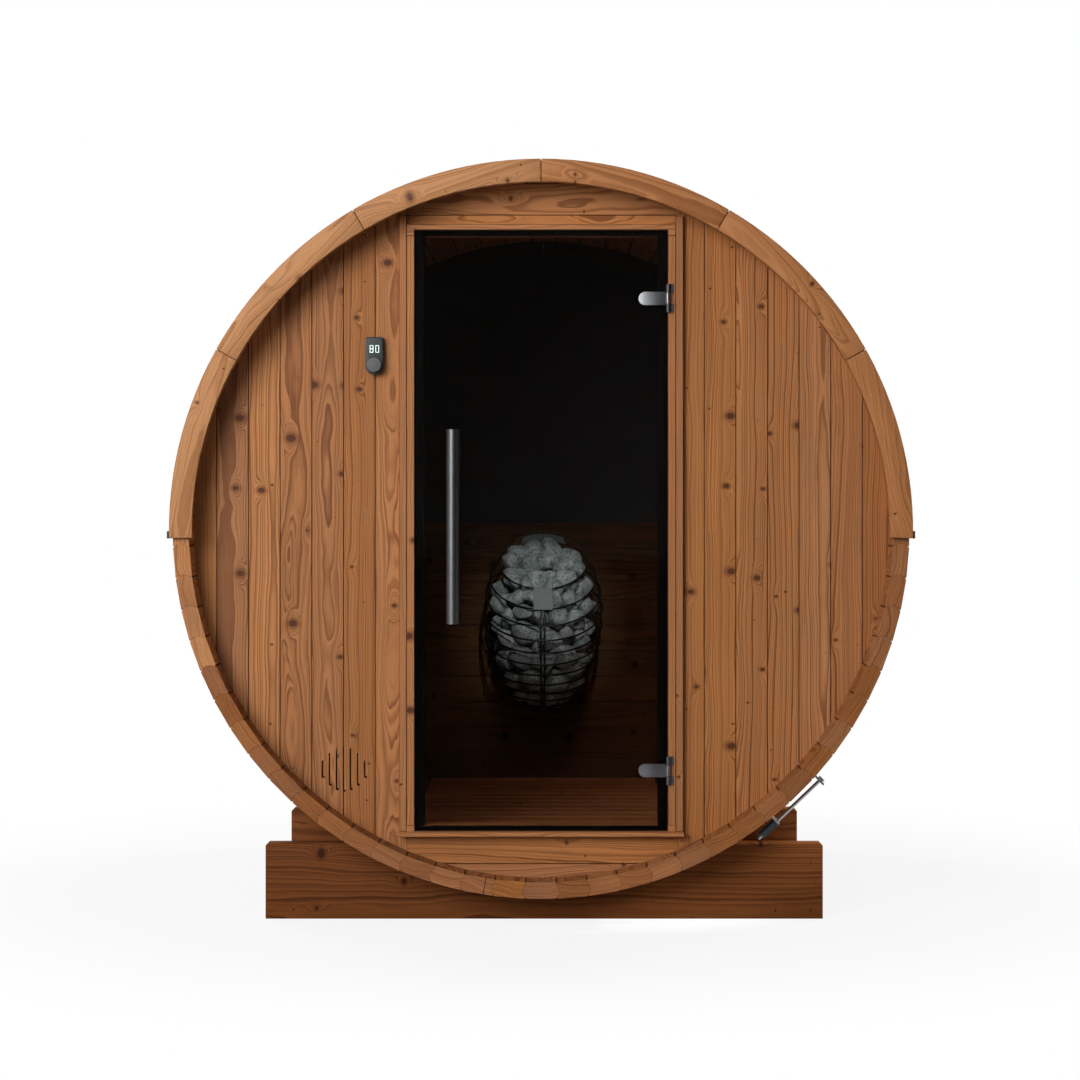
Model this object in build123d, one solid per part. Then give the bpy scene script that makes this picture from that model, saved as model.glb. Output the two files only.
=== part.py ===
from build123d import *
import math
import os

# Barrel sauna, millimetres. +Z is up, the glass door faces -Y, +X is to the right of
# someone facing the door, and the origin is on the ground under the middle of the barrel.

# Barrel of staves
barrel_length = 1780.0        # over the two arch trims
ground_clearance = 79.0       # under the lowest stave
stave_count = 72
stave_thickness = 45.0
stave_inner_apothem = 952.0   # from the barrel's axis to the inner flat of a stave
stave_gap = 0.3               # between neighbouring staves
bead_chord = 32.0             # width of the rounded tongue across a joint
bead_rise = 7.5
bead_cover = 4.0              # wood between the tongue and the outer face
edge_chamfer = 3.0
croze_depth = 8.0             # groove in the staves that holds an end wall

# Arch trims on the stave ends
trim_thickness = 20.0
trim_width = 62.0
trim_cover = 2.1              # how far the trim stands over the roof covering
trim_boards = 6
trim_drop_angle = 1.2         # how far the arch runs below the barrel's middle
trim_joint = 2.0

# End walls
wall_recess = 108.0           # from the face of the front trim to the front wall's boards
rear_wall_recess = 88.0       # from the face of the rear trim to the rear wall
wall_thickness = 45.0
seat_gap = 0.3                # play of a fitted wooden piece

# Doorway and its frame
glass_width = 684.0
glass_height = 1636.0
glass_rise = 178.0            # from the lowest stave to the glass
glass_thickness = 8.0
glass_run = 5.0               # free space all round the moving glass
glass_lap = 19.0              # how far the glass covers the jambs
glass_end_lap = 11.0          # how far it covers the head and the sill
jamb_reveal = 21.2            # jamb that shows beside the rebate
head_reveal = 15.0
sill_lip_height = 12.0
sill_lip_overhang = 21.8
sill_lip_depth = 20.0
casing_width = 20.0
casing_depth = 20.0           # of the casings, and how far the frame stands out of the boards
casing_rise = 23.0            # of the casings over the head

# Hinges
hinge_low_inset = 162.0       # from the foot of the glass to the lower hinge
hinge_top_inset = 183.0
hinge_pin_offset = 5.5        # from the edge of the glass to the pin
knuckle_radius = 6.3
knuckle_length = 77.0
knuckle_play = 0.5
clamp_knuckle = 28.0          # length of the clamp's own knuckle
knuckle_clearance = 1.2       # between a fixed knuckle and the glass
pin_radius = 3.0
pin_play = 0.08
clamp_length = 81.0
clamp_height = 36.0
clamp_plate = 5.0
gasket = 0.2
leaf_reach = 13.5
leaf_plate = 4.0
bolt_radius = 5.0
bolt_hole_play = 1.0
clamp_bolt_spacing = 24.0

# Door handles
handle_inset = 103.0          # from the free edge of the glass
handle_radius = 18.0
handle_length = 527.0
handle_rise = 566.0           # from the foot of the glass
handle_standoff = 45.0
handle_post_inset = 75.0
post_radius = 9.0

# Control panel
panel_setback = 67.5          # from the casing to the middle of the panel
panel_knob_rise = 1271.0      # from the foot of the glass to the knob
panel_over_knob = 77.0
panel_top_half_width = 23.0
panel_round = 26.0
panel_depth = 22.0
panel_corner = 5.0
knob_radius = 19.7
knob_depth = 14.0
knob_gap = 1.0
shaft_radius = 3.0
shaft_length = 12.0

# Air inlet
vent_setback = 151.0          # from the casing to the middle of the inlet
vent_rise = 163.0             # from the foot of the glass
vent_slots = 7
vent_pitch = 19.3
vent_slot_width = 9.8
vent_half_height = 62.0
vent_reach = 74.5             # where the outline of the slot ends would close
shutter_size = 150.0
shutter_play = 2.0
shutter_thickness = 18.0

# Rear window
window_arch_width = 37.0      # of the arch board inside the staves
window_glass = 8.0
window_rebate = 10.0
window_sill_rise = 5.0        # of the window's sill over the barrel's middle

# Floor
floor_rise = 141.0            # from the lowest stave to the floor
floor_thickness = 26.0
floor_side = 5.8              # of the floor boards beyond the door frame
floor_end_gap = 6.0
bearer_width = 45.0
bearer_offset = 230.0

# Cradles
cradle_recess = 165.0         # from the face of the trim to the outer plank
cradle_plank = 45.0
cradle_low_rise = 131.5       # over the underside of the lowest stave
cradle_low_half = 771.0
cradle_high_rise = 221.0
cradle_high_half = 704.0
cradle_offset = 8.0           # of the cradles' middle to the right of the barrel's
cradle_chamfer = 8.0
cradle_play = 0.3

# Hoops
hoop_width = 28.0
hoop_thickness = 1.0
hoop_inset = 100.0            # from the face of the trim to the outer hoop
hoop_play = 0.2
hoop_gap_middle = -46.5       # direction of the tensioner, from +X towards +Z
hoop_gap = 156.8              # between the ends of the band
ear_thickness = 6.0
ear_upper_height = 40.0
ear_lower_height = 34.0
ear_foot = 28.0
ear_foot_thickness = 4.0
rod_radius = 5.0
rod_play = 0.3
rod_height = 26.0             # of the rod over the hoop, at the middle of its span
rod_tail = 12.0
bolt_head_height = 7.0
bolt_head_size = 17.0
coupling_length = 54.0
coupling_size = 21.0

# Roof covering
membrane_thickness = 3.5
membrane_play = 0.2
edge_strip_width = 5.0
edge_strip_height = 20.0
edge_strip_drop = 21.0        # from the barrel's middle down to its lower edge

# Heater basket and its stones
basket_radius = 195.0
basket_belly_rise = 570.0     # from the floor to the widest part
basket_upper_axis = 256.0
basket_lower_axis = 329.0
basket_rings = 12
basket_foot_depth = 283.0     # from the widest part down to the lowest ring
basket_crown_height = 168.0   # from the widest part up to the top ring
basket_ring_spacing = 1.32    # over 1, the rings crowd towards the bottom
basket_low_tilt = 14.0
basket_top_tilt = 38.0
basket_wall_gap = 25.0
basket_wire = 5.0
basket_sides = 24
stone_play = 4.0
mount_plate = 4.0
mount_half_width = 60.0
mount_arm_half = 10.0
mount_overhang = 60.0

# Derived places
half_length = barrel_length / 2
stave_outer_apothem = stave_inner_apothem + stave_thickness
barrel_z = ground_clearance + stave_outer_apothem
half_angle = 180.0 / stave_count
stave_corner_radius = stave_outer_apothem / math.cos(math.radians(half_angle))
stave_end = half_length - trim_thickness
hoop_inner = stave_corner_radius + hoop_play
hoop_outer = hoop_inner + hoop_thickness
hoop_gap_half = math.degrees(math.asin(hoop_gap / 2 / hoop_outer))
membrane_inner = hoop_outer + membrane_play
membrane_outer = membrane_inner + membrane_thickness
trim_outer_radius = membrane_outer + trim_cover
trim_inner_radius = trim_outer_radius - trim_width
wall_face = half_length - wall_recess
wall_back = wall_face - wall_thickness
frame_face = wall_face + casing_depth
rear_wall_face = half_length - rear_wall_recess
rear_wall_back = rear_wall_face - wall_thickness
wall_radius = stave_inner_apothem + croze_depth - seat_gap
window_radius = stave_inner_apothem - window_arch_width
window_sill = barrel_z + window_sill_rise
glass_half = glass_width / 2
glass_bottom = ground_clearance + glass_rise
glass_top = glass_bottom + glass_height
glass_back = -frame_face + glass_thickness
opening_half = glass_half - glass_lap
opening_top = glass_top - glass_end_lap
opening_bottom = glass_bottom + glass_end_lap
rebate_depth = glass_thickness + glass_run
rebate_half = glass_half + glass_run
frame_half_width = rebate_half + jamb_reveal
frame_top = glass_top + glass_run + head_reveal
sill_lip_top = glass_bottom - glass_run
frame_bottom = sill_lip_top - sill_lip_height
casing_outer = frame_half_width + seat_gap + casing_width
casing_top = frame_top + casing_rise
hinge_heights = (glass_bottom + hinge_low_inset, glass_top - hinge_top_inset)
pin_x = glass_half + hinge_pin_offset
pin_y = -frame_face - knuckle_radius - knuckle_clearance
handle_x = -glass_half + handle_inset
handle_bottom = glass_bottom + handle_rise
handle_top = handle_bottom + handle_length
panel_x = -casing_outer - panel_setback
panel_knob_z = glass_bottom + panel_knob_rise
panel_top = panel_knob_z + panel_over_knob
vent_x = -casing_outer - vent_setback
vent_z = glass_bottom + vent_rise
floor_top = ground_clearance + floor_rise
floor_half_width = frame_half_width + floor_side
cradle_low_height = ground_clearance + cradle_low_rise
cradle_high_height = ground_clearance + cradle_high_rise
basket_y = rear_wall_back - basket_wall_gap - basket_radius
basket_belly_z = floor_top + basket_belly_rise
basket_low_ring_z = basket_belly_z - basket_foot_depth
basket_top_ring_z = basket_belly_z + basket_crown_height


def block(x0, x1, y0, y1, z0, z1):
    """A rectangular block between two corners."""
    middle = Pos((x0 + x1) / 2, (y0 + y1) / 2, (z0 + z1) / 2)
    return middle * Box(x1 - x0, y1 - y0, z1 - z0)


def rod_y(x, z, radius, y0, y1):
    """A round bar along Y."""
    return Pos(x, (y0 + y1) / 2, z) * Rot(90, 0, 0) * Cylinder(radius, y1 - y0)


def rod_z(x, y, radius, z0, z1):
    """An upright round bar."""
    return Pos(x, y, (z0 + z1) / 2) * Cylinder(radius, z1 - z0)


def drum(radius, y0, y1):
    """A disc or cylinder about the barrel's axis."""
    return rod_y(0, barrel_z, radius, y0, y1)


def rim(radius, angle, y=0.0):
    """A point about the barrel's axis; the angle runs from +X towards +Z."""
    turn = math.radians(angle)
    return Vector(radius * math.cos(turn), y, barrel_z + radius * math.sin(turn))


def turned(shape, angle):
    """The shape turned about the barrel's axis, from +X towards +Z."""
    return Pos(0, 0, barrel_z) * Rot(0, -angle, 0) * Pos(0, 0, -barrel_z) * shape


def drawn_along_y(edges, y0, y1):
    """A closed outline at y0, drawn out to y1."""
    return extrude(Face(Wire(edges)), amount=y1 - y0, dir=(0, 1, 0))


def arc_board(inner, outer, start, end, y0, y1):
    """A curved board between two radii and two directions about the barrel's axis."""
    middle = (start + end) / 2
    edges = [
        Edge.make_three_point_arc(rim(inner, start, y0), rim(inner, middle, y0), rim(inner, end, y0)),
        Edge.make_line(rim(inner, end, y0), rim(outer, end, y0)),
        Edge.make_three_point_arc(rim(outer, end, y0), rim(outer, middle, y0), rim(outer, start, y0)),
        Edge.make_line(rim(outer, start, y0), rim(inner, start, y0)),
    ]
    return drawn_along_y(edges, y0, y1)


def one(solids):
    """A compound of separate solids for one node."""
    return Compound(children=list(solids))


def export(name, shape):
    export_step(shape, f"parts/{name}.step")


# Staves. Each is drawn at the bottom of the barrel and turned to its place.

def joint_point(side, radius, offset):
    """A point of a stave's edge: offset is the distance out of the stave, across its joint."""
    turn = math.radians(half_angle)
    x = radius * math.sin(turn) + offset * math.cos(turn)
    z = -radius * math.cos(turn) + offset * math.sin(turn)
    return Vector(side * x, -stave_end, barrel_z + z)


def stave_edge(side, bead):
    """The line of one long edge, from the outer chamfer to the inner face."""
    tongue_outer = stave_outer_apothem - bead_cover
    tongue_inner = tongue_outer - bead_chord
    tongue_middle = (tongue_outer + tongue_inner) / 2
    rise = bead_rise if bead else -bead_rise
    back = -stave_gap / 2
    corner_x = stave_outer_apothem * math.tan(math.radians(half_angle)) - edge_chamfer
    face = Vector(side * corner_x, -stave_end, barrel_z - stave_outer_apothem)
    chamfer = joint_point(side, stave_corner_radius - edge_chamfer, back)
    outer = joint_point(side, tongue_outer, back)
    crown = joint_point(side, tongue_middle, back + rise)
    inner = joint_point(side, tongue_inner, back)
    foot = joint_point(side, stave_inner_apothem / math.cos(math.radians(half_angle)), back)
    edges = [Edge.make_line(face, chamfer), Edge.make_line(chamfer, outer)]
    edges.append(Edge.make_three_point_arc(outer, crown, inner))
    edges.append(Edge.make_line(inner, foot))
    return edges, face, foot


def make_stave(left_bead, right_bead):
    """One stave at the bottom of the barrel, grooved for the two end walls."""
    left, left_face, left_foot = stave_edge(-1, left_bead)
    right, right_face, right_foot = stave_edge(1, right_bead)
    edges = left + right
    edges.append(Edge.make_line(left_face, right_face))
    edges.append(Edge.make_line(left_foot, right_foot))
    stave = drawn_along_y(edges, -stave_end, stave_end)
    groove_floor = barrel_z - stave_inner_apothem - croze_depth
    half_width = stave_outer_apothem * math.tan(math.radians(half_angle)) + bead_rise
    for y in (-wall_face, rear_wall_back):
        stave -= block(-half_width, half_width, y - seat_gap, y + wall_thickness + seat_gap,
                       groove_floor, groove_floor + stave_thickness)
    return stave


def make_staves():
    """Eight nodes of nine staves, from the lowest stave round both sides to the top."""
    step = 360.0 / stave_count
    kinds = {
        "bottom": make_stave(True, True),
        "right": make_stave(False, True),
        "left": make_stave(True, False),
        "top": make_stave(False, False),
    }
    groups = {}
    names = ("bottom", "lower_right", "right", "upper_right", "top", "upper_left", "left", "lower_left")
    for number in range(stave_count):
        direction = number * step
        kind = "right" if 0 < direction < 180 else "left"
        if number == 0:
            kind = "bottom"
        if direction == 180:
            kind = "top"
        sector = round(direction / 45 - 0.001) % len(names)
        groups.setdefault(names[sector], []).append(turned(kinds[kind], direction))
    for name, staves in groups.items():
        export(f"staves_{name}", one(staves))


def make_arch_trims():
    """The arches of curved boards on the stave ends."""
    span = (180 + 2 * trim_drop_angle) / trim_boards
    half_joint = math.degrees(trim_joint / 2 / trim_outer_radius)
    faces = {"front": -half_length, "rear": stave_end}
    for name, y in faces.items():
        boards = []
        for number in range(trim_boards):
            start = number * span - trim_drop_angle
            boards.append(arc_board(trim_inner_radius, trim_outer_radius, start + half_joint,
                                    start + span - half_joint, y, y + trim_thickness))
        export(f"{name}_arch_trim", one(boards))


def vent_cutters():
    """The seven upright slots of the air inlet."""
    cutters = []
    middle = (vent_slots - 1) / 2
    y0, y1 = -wall_face - 1, -wall_back + 1
    radius = vent_slot_width / 2
    for number in range(vent_slots):
        offset = (number - middle) * vent_pitch
        reach = vent_half_height * (1 - (offset / vent_reach) ** 2) - radius
        x = vent_x + offset
        slot = block(x - radius, x + radius, y0, y1, vent_z - reach, vent_z + reach)
        slot += rod_y(x, vent_z + reach, radius, y0, y1)
        slot += rod_y(x, vent_z - reach, radius, y0, y1)
        cutters.append(slot)
    return cutters


def make_front_wall():
    """The round front wall, in four parts about the doorway."""
    disc = drum(wall_radius, -wall_face, -wall_back)
    edge = frame_half_width + seat_gap
    far = wall_radius + 1
    low, high = barrel_z - far, barrel_z + far
    left = disc & block(-far, -edge, -half_length, 0, low, high)
    for slot in vent_cutters():
        left -= slot
    right = disc & block(edge, far, -half_length, 0, low, high)
    over = disc & block(-frame_half_width, frame_half_width, -half_length, 0, frame_top + seat_gap, high)
    under = disc & block(-frame_half_width, frame_half_width, -half_length, 0, low, frame_bottom - seat_gap)
    export("front_wall_left", left)
    export("front_wall_right", right)
    export("front_wall_over_door", over)
    export("front_wall_under_door", under)
    shutter = block(vent_x - shutter_size / 2, vent_x + shutter_size / 2, -wall_back,
                    -wall_back + shutter_thickness, vent_z - shutter_size / 2, vent_z + shutter_size / 2)
    shutter &= drum(stave_inner_apothem - shutter_play, -wall_back, 0)
    export("vent_shutter", shutter)


def make_door_frame():
    """Jambs, head and sill, rebated for the glass, and the casings beside them."""
    rebate_back = -frame_face + rebate_depth
    jambs = []
    for side in (-1, 1):
        inner, outer, step = side * opening_half, side * frame_half_width, side * rebate_half
        jamb = block(min(inner, outer), max(inner, outer), -frame_face, -wall_back,
                     opening_bottom + seat_gap, opening_top - seat_gap)
        jamb -= block(min(inner, step), max(inner, step), -frame_face, rebate_back,
                      frame_bottom, frame_top)
        jambs.append(jamb)
    export("door_jambs", one(jambs))
    head = block(-frame_half_width, frame_half_width, -frame_face, -wall_back, opening_top, frame_top)
    head -= block(-rebate_half, rebate_half, -frame_face, rebate_back, opening_top, glass_top + glass_run)
    export("door_head", head)
    lip_half = frame_half_width + sill_lip_overhang
    sill = block(-frame_half_width, frame_half_width, -frame_face, -wall_back, frame_bottom, opening_bottom)
    sill -= block(-rebate_half, rebate_half, -frame_face, rebate_back, sill_lip_top, opening_bottom)
    sill += block(-lip_half, lip_half, -frame_face - sill_lip_depth, -wall_face,
                  frame_bottom, sill_lip_top)
    export("door_sill", sill)
    casings = []
    for side in (-1, 1):
        inner = side * (frame_half_width + seat_gap)
        outer = inner + side * casing_width
        casings.append(block(min(inner, outer), max(inner, outer), -frame_face, -wall_face,
                             sill_lip_top + seat_gap, casing_top))
    export("door_casings", one(casings))


def make_hinges():
    """Two glass hinges: leaves with their pins on the jamb, clamps through the glass."""
    leaves, clamps = [], []
    glass_front = -frame_face
    neck = pin_x - knuckle_radius - knuckle_clearance
    for z in hinge_heights:
        top, bottom = z + knuckle_length / 2, z - knuckle_length / 2
        middle_top, middle_bottom = z + clamp_height / 2, z - clamp_height / 2
        neck_top, neck_bottom = z + clamp_knuckle / 2, z - clamp_knuckle / 2
        leaf = rod_z(pin_x, pin_y, pin_radius, bottom, top)
        for low, high in ((bottom, neck_bottom - knuckle_play), (neck_top + knuckle_play, top)):
            leaf += rod_z(pin_x, pin_y, knuckle_radius, low, high)
            leaf += block(pin_x + knuckle_radius / 2, pin_x + leaf_reach, glass_front - leaf_plate,
                          glass_front, low, high)
        leaves.append(leaf)
        round_x = pin_x - clamp_length + clamp_height / 2
        clamp = rod_z(pin_x, pin_y, knuckle_radius, neck_bottom, neck_top)
        clamp += block(neck, pin_x, glass_front - gasket - clamp_plate, glass_front - gasket,
                       neck_bottom, neck_top)
        for y0, y1, end in ((glass_front - gasket - clamp_plate, glass_front - gasket, neck),
                            (glass_back + gasket, glass_back + gasket + clamp_plate, opening_half - glass_run)):
            clamp += block(round_x, end, y0, y1, middle_bottom, middle_top)
            clamp += rod_y(round_x, z, clamp_height / 2, y0, y1)
        for x in (round_x, round_x + clamp_bolt_spacing):
            clamp += rod_y(x, z, bolt_radius, glass_front - gasket, glass_back + gasket)
        clamp -= rod_z(pin_x, pin_y, pin_radius + pin_play, bottom, top)
        clamps.append(clamp)
    export("hinge_leaves", one(leaves))
    export("hinge_clamps", one(clamps))


def make_door():
    """The glass leaf, drilled for its fittings, and the tube handles on both sides."""
    glass = block(-glass_half, glass_half, -frame_face, glass_back, glass_bottom, glass_top)
    hole = bolt_radius + bolt_hole_play
    round_x = pin_x - clamp_length + clamp_height / 2
    for z in hinge_heights:
        for x in (round_x, round_x + clamp_bolt_spacing):
            glass -= rod_y(x, z, hole, -frame_face, glass_back)
    post_heights = (handle_bottom + handle_post_inset, handle_top - handle_post_inset)
    for z in post_heights:
        glass -= rod_y(handle_x, z, hole, -frame_face, glass_back)
    export("door_glass", glass)
    outer_y = -frame_face - handle_standoff - handle_radius
    inner_y = glass_back + handle_standoff + handle_radius
    outer = rod_z(handle_x, outer_y, handle_radius, handle_bottom, handle_top)
    inner = rod_z(handle_x, inner_y, handle_radius, handle_bottom, handle_top)
    glass_middle = (-frame_face + glass_back) / 2
    for z in post_heights:
        outer += rod_y(handle_x, z, post_radius, outer_y, -frame_face - gasket)
        outer += rod_y(handle_x, z, bolt_radius, -frame_face - gasket, glass_middle)
        inner += rod_y(handle_x, z, post_radius, glass_back + gasket, inner_y)
        inner += rod_y(handle_x, z, bolt_radius, glass_middle, glass_back + gasket)
    export("door_handle_outer", outer)
    export("door_handle_inner", inner)


def make_control():
    """The control panel on the front wall and its knob."""
    front = -wall_face - panel_depth
    left, right = panel_x - panel_round, panel_x + panel_round
    top_left, top_right = panel_x - panel_top_half_width, panel_x + panel_top_half_width
    points = [
        Vector(left, front, panel_knob_z),
        Vector(panel_x, front, panel_knob_z - panel_round),
        Vector(right, front, panel_knob_z),
        Vector(top_right, front, panel_top),
        Vector(top_left, front, panel_top),
    ]
    edges = [
        Edge.make_three_point_arc(points[0], points[1], points[2]),
        Edge.make_line(points[2], points[3]),
        Edge.make_line(points[3], points[4]),
        Edge.make_line(points[4], points[0]),
    ]
    housing = drawn_along_y(edges, front, -wall_face)
    corners = housing.edges().filter_by(Axis.Y).sort_by(Axis.Z)[-2:]
    housing = fillet(corners, panel_corner)
    housing -= rod_y(panel_x, panel_knob_z, shaft_radius + pin_play, front, front + shaft_length + knob_gap)
    export("control_panel", housing)
    knob = rod_y(panel_x, panel_knob_z, knob_radius, front - knob_gap - knob_depth, front - knob_gap)
    knob += rod_y(panel_x, panel_knob_z, shaft_radius, front - knob_gap, front + shaft_length)
    export("control_knob", knob)


def make_rear_wall():
    """Boards up to the window's sill and a half-round window above."""
    glass_y0 = rear_wall_face - wall_thickness / 2 - window_glass / 2
    glass_y1 = glass_y0 + window_glass
    disc = drum(wall_radius, rear_wall_back, rear_wall_face)
    far = wall_radius + 1
    boards = disc & block(-far, far, rear_wall_back, rear_wall_face, barrel_z - far, window_sill)
    boards -= block(-window_radius - window_rebate, window_radius + window_rebate, glass_y0 - seat_gap,
                    glass_y1 + seat_gap, window_sill - window_rebate, window_sill)
    export("rear_wall_boards", boards)
    play = math.degrees(seat_gap / wall_radius)
    foot = math.degrees(math.asin((window_sill_rise + seat_gap) / window_radius))
    span = (180 - 2 * foot) / trim_boards
    groove = drum(window_radius + window_rebate, glass_y0 - seat_gap, glass_y1 + seat_gap)
    segments = []
    for number in range(trim_boards):
        start = foot + number * span
        segment = arc_board(window_radius, wall_radius, start, start + span - play,
                            rear_wall_back, rear_wall_face)
        segments.append(segment - groove)
    export("rear_window_arch", one(segments))
    pane = drum(window_radius + window_rebate - seat_gap, glass_y0, glass_y1)
    pane &= block(-far, far, rear_wall_back, rear_wall_face, window_sill - window_rebate + seat_gap,
                  barrel_z + far)
    half = window_radius + window_rebate - 2 * seat_gap
    pane &= block(-half, half, rear_wall_back, rear_wall_face, barrel_z - far, barrel_z + far)
    export("rear_window_glass", pane)


def make_floor():
    """Floor boards across the barrel on three bearers that follow its curve."""
    front, rear = -wall_back + floor_end_gap, rear_wall_back - floor_end_gap
    under = floor_top - floor_thickness
    hollow = drum(stave_inner_apothem - seat_gap, front, rear)
    boards = block(-floor_half_width, floor_half_width, front, rear, under, floor_top)
    export("floor_boards", boards & hollow)
    bearers = []
    for x in (-bearer_offset, 0.0, bearer_offset):
        bearer = block(x - bearer_width / 2, x + bearer_width / 2, front, rear, 0, under)
        bearers.append(bearer & hollow)
    export("floor_bearers", one(bearers))


def cradle_board(half, height, y0):
    """One plank on edge, hollowed to the barrel, with its upper edges broken."""
    board = block(cradle_offset - half, cradle_offset + half, y0, y0 + cradle_plank, 0, height)
    board = chamfer(board.edges().filter_by(Axis.X).group_by(Axis.Z)[-1], cradle_chamfer / 2)
    board = chamfer(board.edges().filter_by(Axis.Y).group_by(Axis.Z)[-1], cradle_chamfer)
    return board - drum(stave_corner_radius + cradle_play, y0 - 1, y0 + cradle_plank + 1)


def make_cradles():
    """Front and rear cradles, each a low plank on the outside and a tall one against it."""
    outer = half_length - cradle_recess
    places = {
        "front": (-outer, -outer + cradle_plank),
        "rear": (outer - cradle_plank, outer - 2 * cradle_plank),
    }
    for name, (low_start, high_start) in places.items():
        export(f"{name}_cradle_saddle", cradle_board(cradle_high_half, cradle_high_height, high_start))
        export(f"{name}_cradle_planks", cradle_board(cradle_low_half, cradle_low_height, low_start))


def make_hoops():
    """Three steel hoops about the staves, each with two ears, a long bolt and a coupling nut."""
    bands, ears, bolts, nuts = [], [], [], []
    reach = half_length - hoop_inset - hoop_width / 2
    start = hoop_gap_middle + hoop_gap_half
    end = hoop_gap_middle - hoop_gap_half + 360
    half_span = hoop_gap / 2
    foot_angle = math.degrees(ear_foot / hoop_outer)
    rod_z_top = barrel_z + hoop_outer + rod_height
    turn = hoop_gap_middle - 90
    for y in (-reach, 0.0, reach):
        y0, y1 = y - hoop_width / 2, y + hoop_width / 2
        bands.append(arc_board(hoop_inner, hoop_outer, start, end, y0, y1))
        for side, height in ((-1, ear_upper_height), (1, ear_lower_height)):
            inner, outer = side * half_span, side * (half_span + ear_thickness)
            ear = block(min(inner, outer), max(inner, outer), y0, y1, barrel_z + hoop_inner - ear_foot,
                        barrel_z + hoop_outer + height)
            foot_start = 90 - side * hoop_gap_half
            foot_end = foot_start - side * foot_angle
            ear += arc_board(hoop_outer, hoop_outer + ear_foot_thickness, min(foot_start, foot_end),
                             max(foot_start, foot_end), y0, y1)
            ear -= drum(hoop_outer + seat_gap / 2, y0, y1)
            hole = Pos(0, y, rod_z_top) * Rot(0, 90, 0) * Cylinder(rod_radius + rod_play, 4 * half_span)
            ears.append(turned(ear - hole, turn))
        head_x = -half_span - ear_thickness - bolt_head_height
        tail_x = half_span + ear_thickness + coupling_length + rod_tail
        bolt = Rot(0, 90, 0) * Cylinder(rod_radius, tail_x - head_x)
        bolt = Pos((head_x + tail_x) / 2, y, rod_z_top) * bolt
        head = extrude(RegularPolygon(bolt_head_size / 2, 6, major_radius=False), bolt_head_height)
        bolt += Pos(head_x, y, rod_z_top) * Rot(0, 90, 0) * head
        bolts.append(turned(bolt, turn))
        nut = extrude(RegularPolygon(coupling_size / 2, 6, major_radius=False), coupling_length)
        nut = Pos(half_span + ear_thickness, y, rod_z_top) * Rot(0, 90, 0) * nut
        bore = Pos(tail_x / 2, y, rod_z_top) * Rot(0, 90, 0) * Cylinder(rod_radius + pin_play, 2 * tail_x)
        nuts.append(turned(nut - bore, turn))
    export("hoop_bands", one(bands))
    export("hoop_ears", one(ears))
    export("hoop_bolts", one(bolts))
    export("hoop_coupling_nuts", one(nuts))


def make_roof():
    """The thin covering over the upper half, and the strips along its lower edges."""
    covering = arc_board(membrane_inner, membrane_outer, -trim_drop_angle, 180 + trim_drop_angle,
                         -stave_end + seat_gap, stave_end - seat_gap)
    export("roof_membrane", covering)
    strips = []
    inner = membrane_outer + membrane_play
    outer = trim_outer_radius + membrane_play + edge_strip_width
    ends = drum(trim_outer_radius + membrane_play, -half_length, half_length)
    ends -= drum(trim_outer_radius + membrane_play, -stave_end, stave_end)
    low = barrel_z - edge_strip_drop
    for side in (-1, 1):
        near, far = side * inner, side * outer
        strip = block(min(near, far), max(near, far), -half_length, half_length,
                      low, low + edge_strip_height)
        strips.append(strip - ends)
    export("roof_edge_strips", one(strips))


# Heater. Its basket is an egg of tilted rings.

def basket_ring(number):
    """Height of the centre, radius and forward tilt of one ring, counted from the bottom."""
    share = (number / (basket_rings - 1)) ** basket_ring_spacing
    z = basket_low_ring_z + share * (basket_top_ring_z - basket_low_ring_z)
    axis = basket_upper_axis if z > basket_belly_z else basket_lower_axis
    radius = basket_radius * math.sqrt(1 - ((z - basket_belly_z) / axis) ** 2)
    tilt = basket_low_tilt + share * (basket_top_tilt - basket_low_tilt)
    return z, radius, tilt


def ring_point(number, around, inset=0.0):
    """A point of a ring; around is 0 at the right, 90 at the back, 270 at the front."""
    z, radius, tilt = basket_ring(number)
    x = (radius - inset) * math.cos(math.radians(around))
    run = (radius - inset) * math.sin(math.radians(around))
    lean = math.radians(tilt)
    return Vector(x, basket_y + run * math.cos(lean), z + run * math.sin(lean))


def basket_bar(around):
    """A flat bar down the basket through every ring."""
    half = basket_wire / 2
    outer = [ring_point(number, around, -half) for number in range(basket_rings)]
    inner = [ring_point(number, around, half) for number in range(basket_rings)]
    outline = Face(Wire.make_polygon(outer + inner[::-1], close=True))
    across = (1, 0, 0) if around in (90, 270) else (0, 1, 0)
    return extrude(outline, amount=half, dir=across, both=True)


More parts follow.
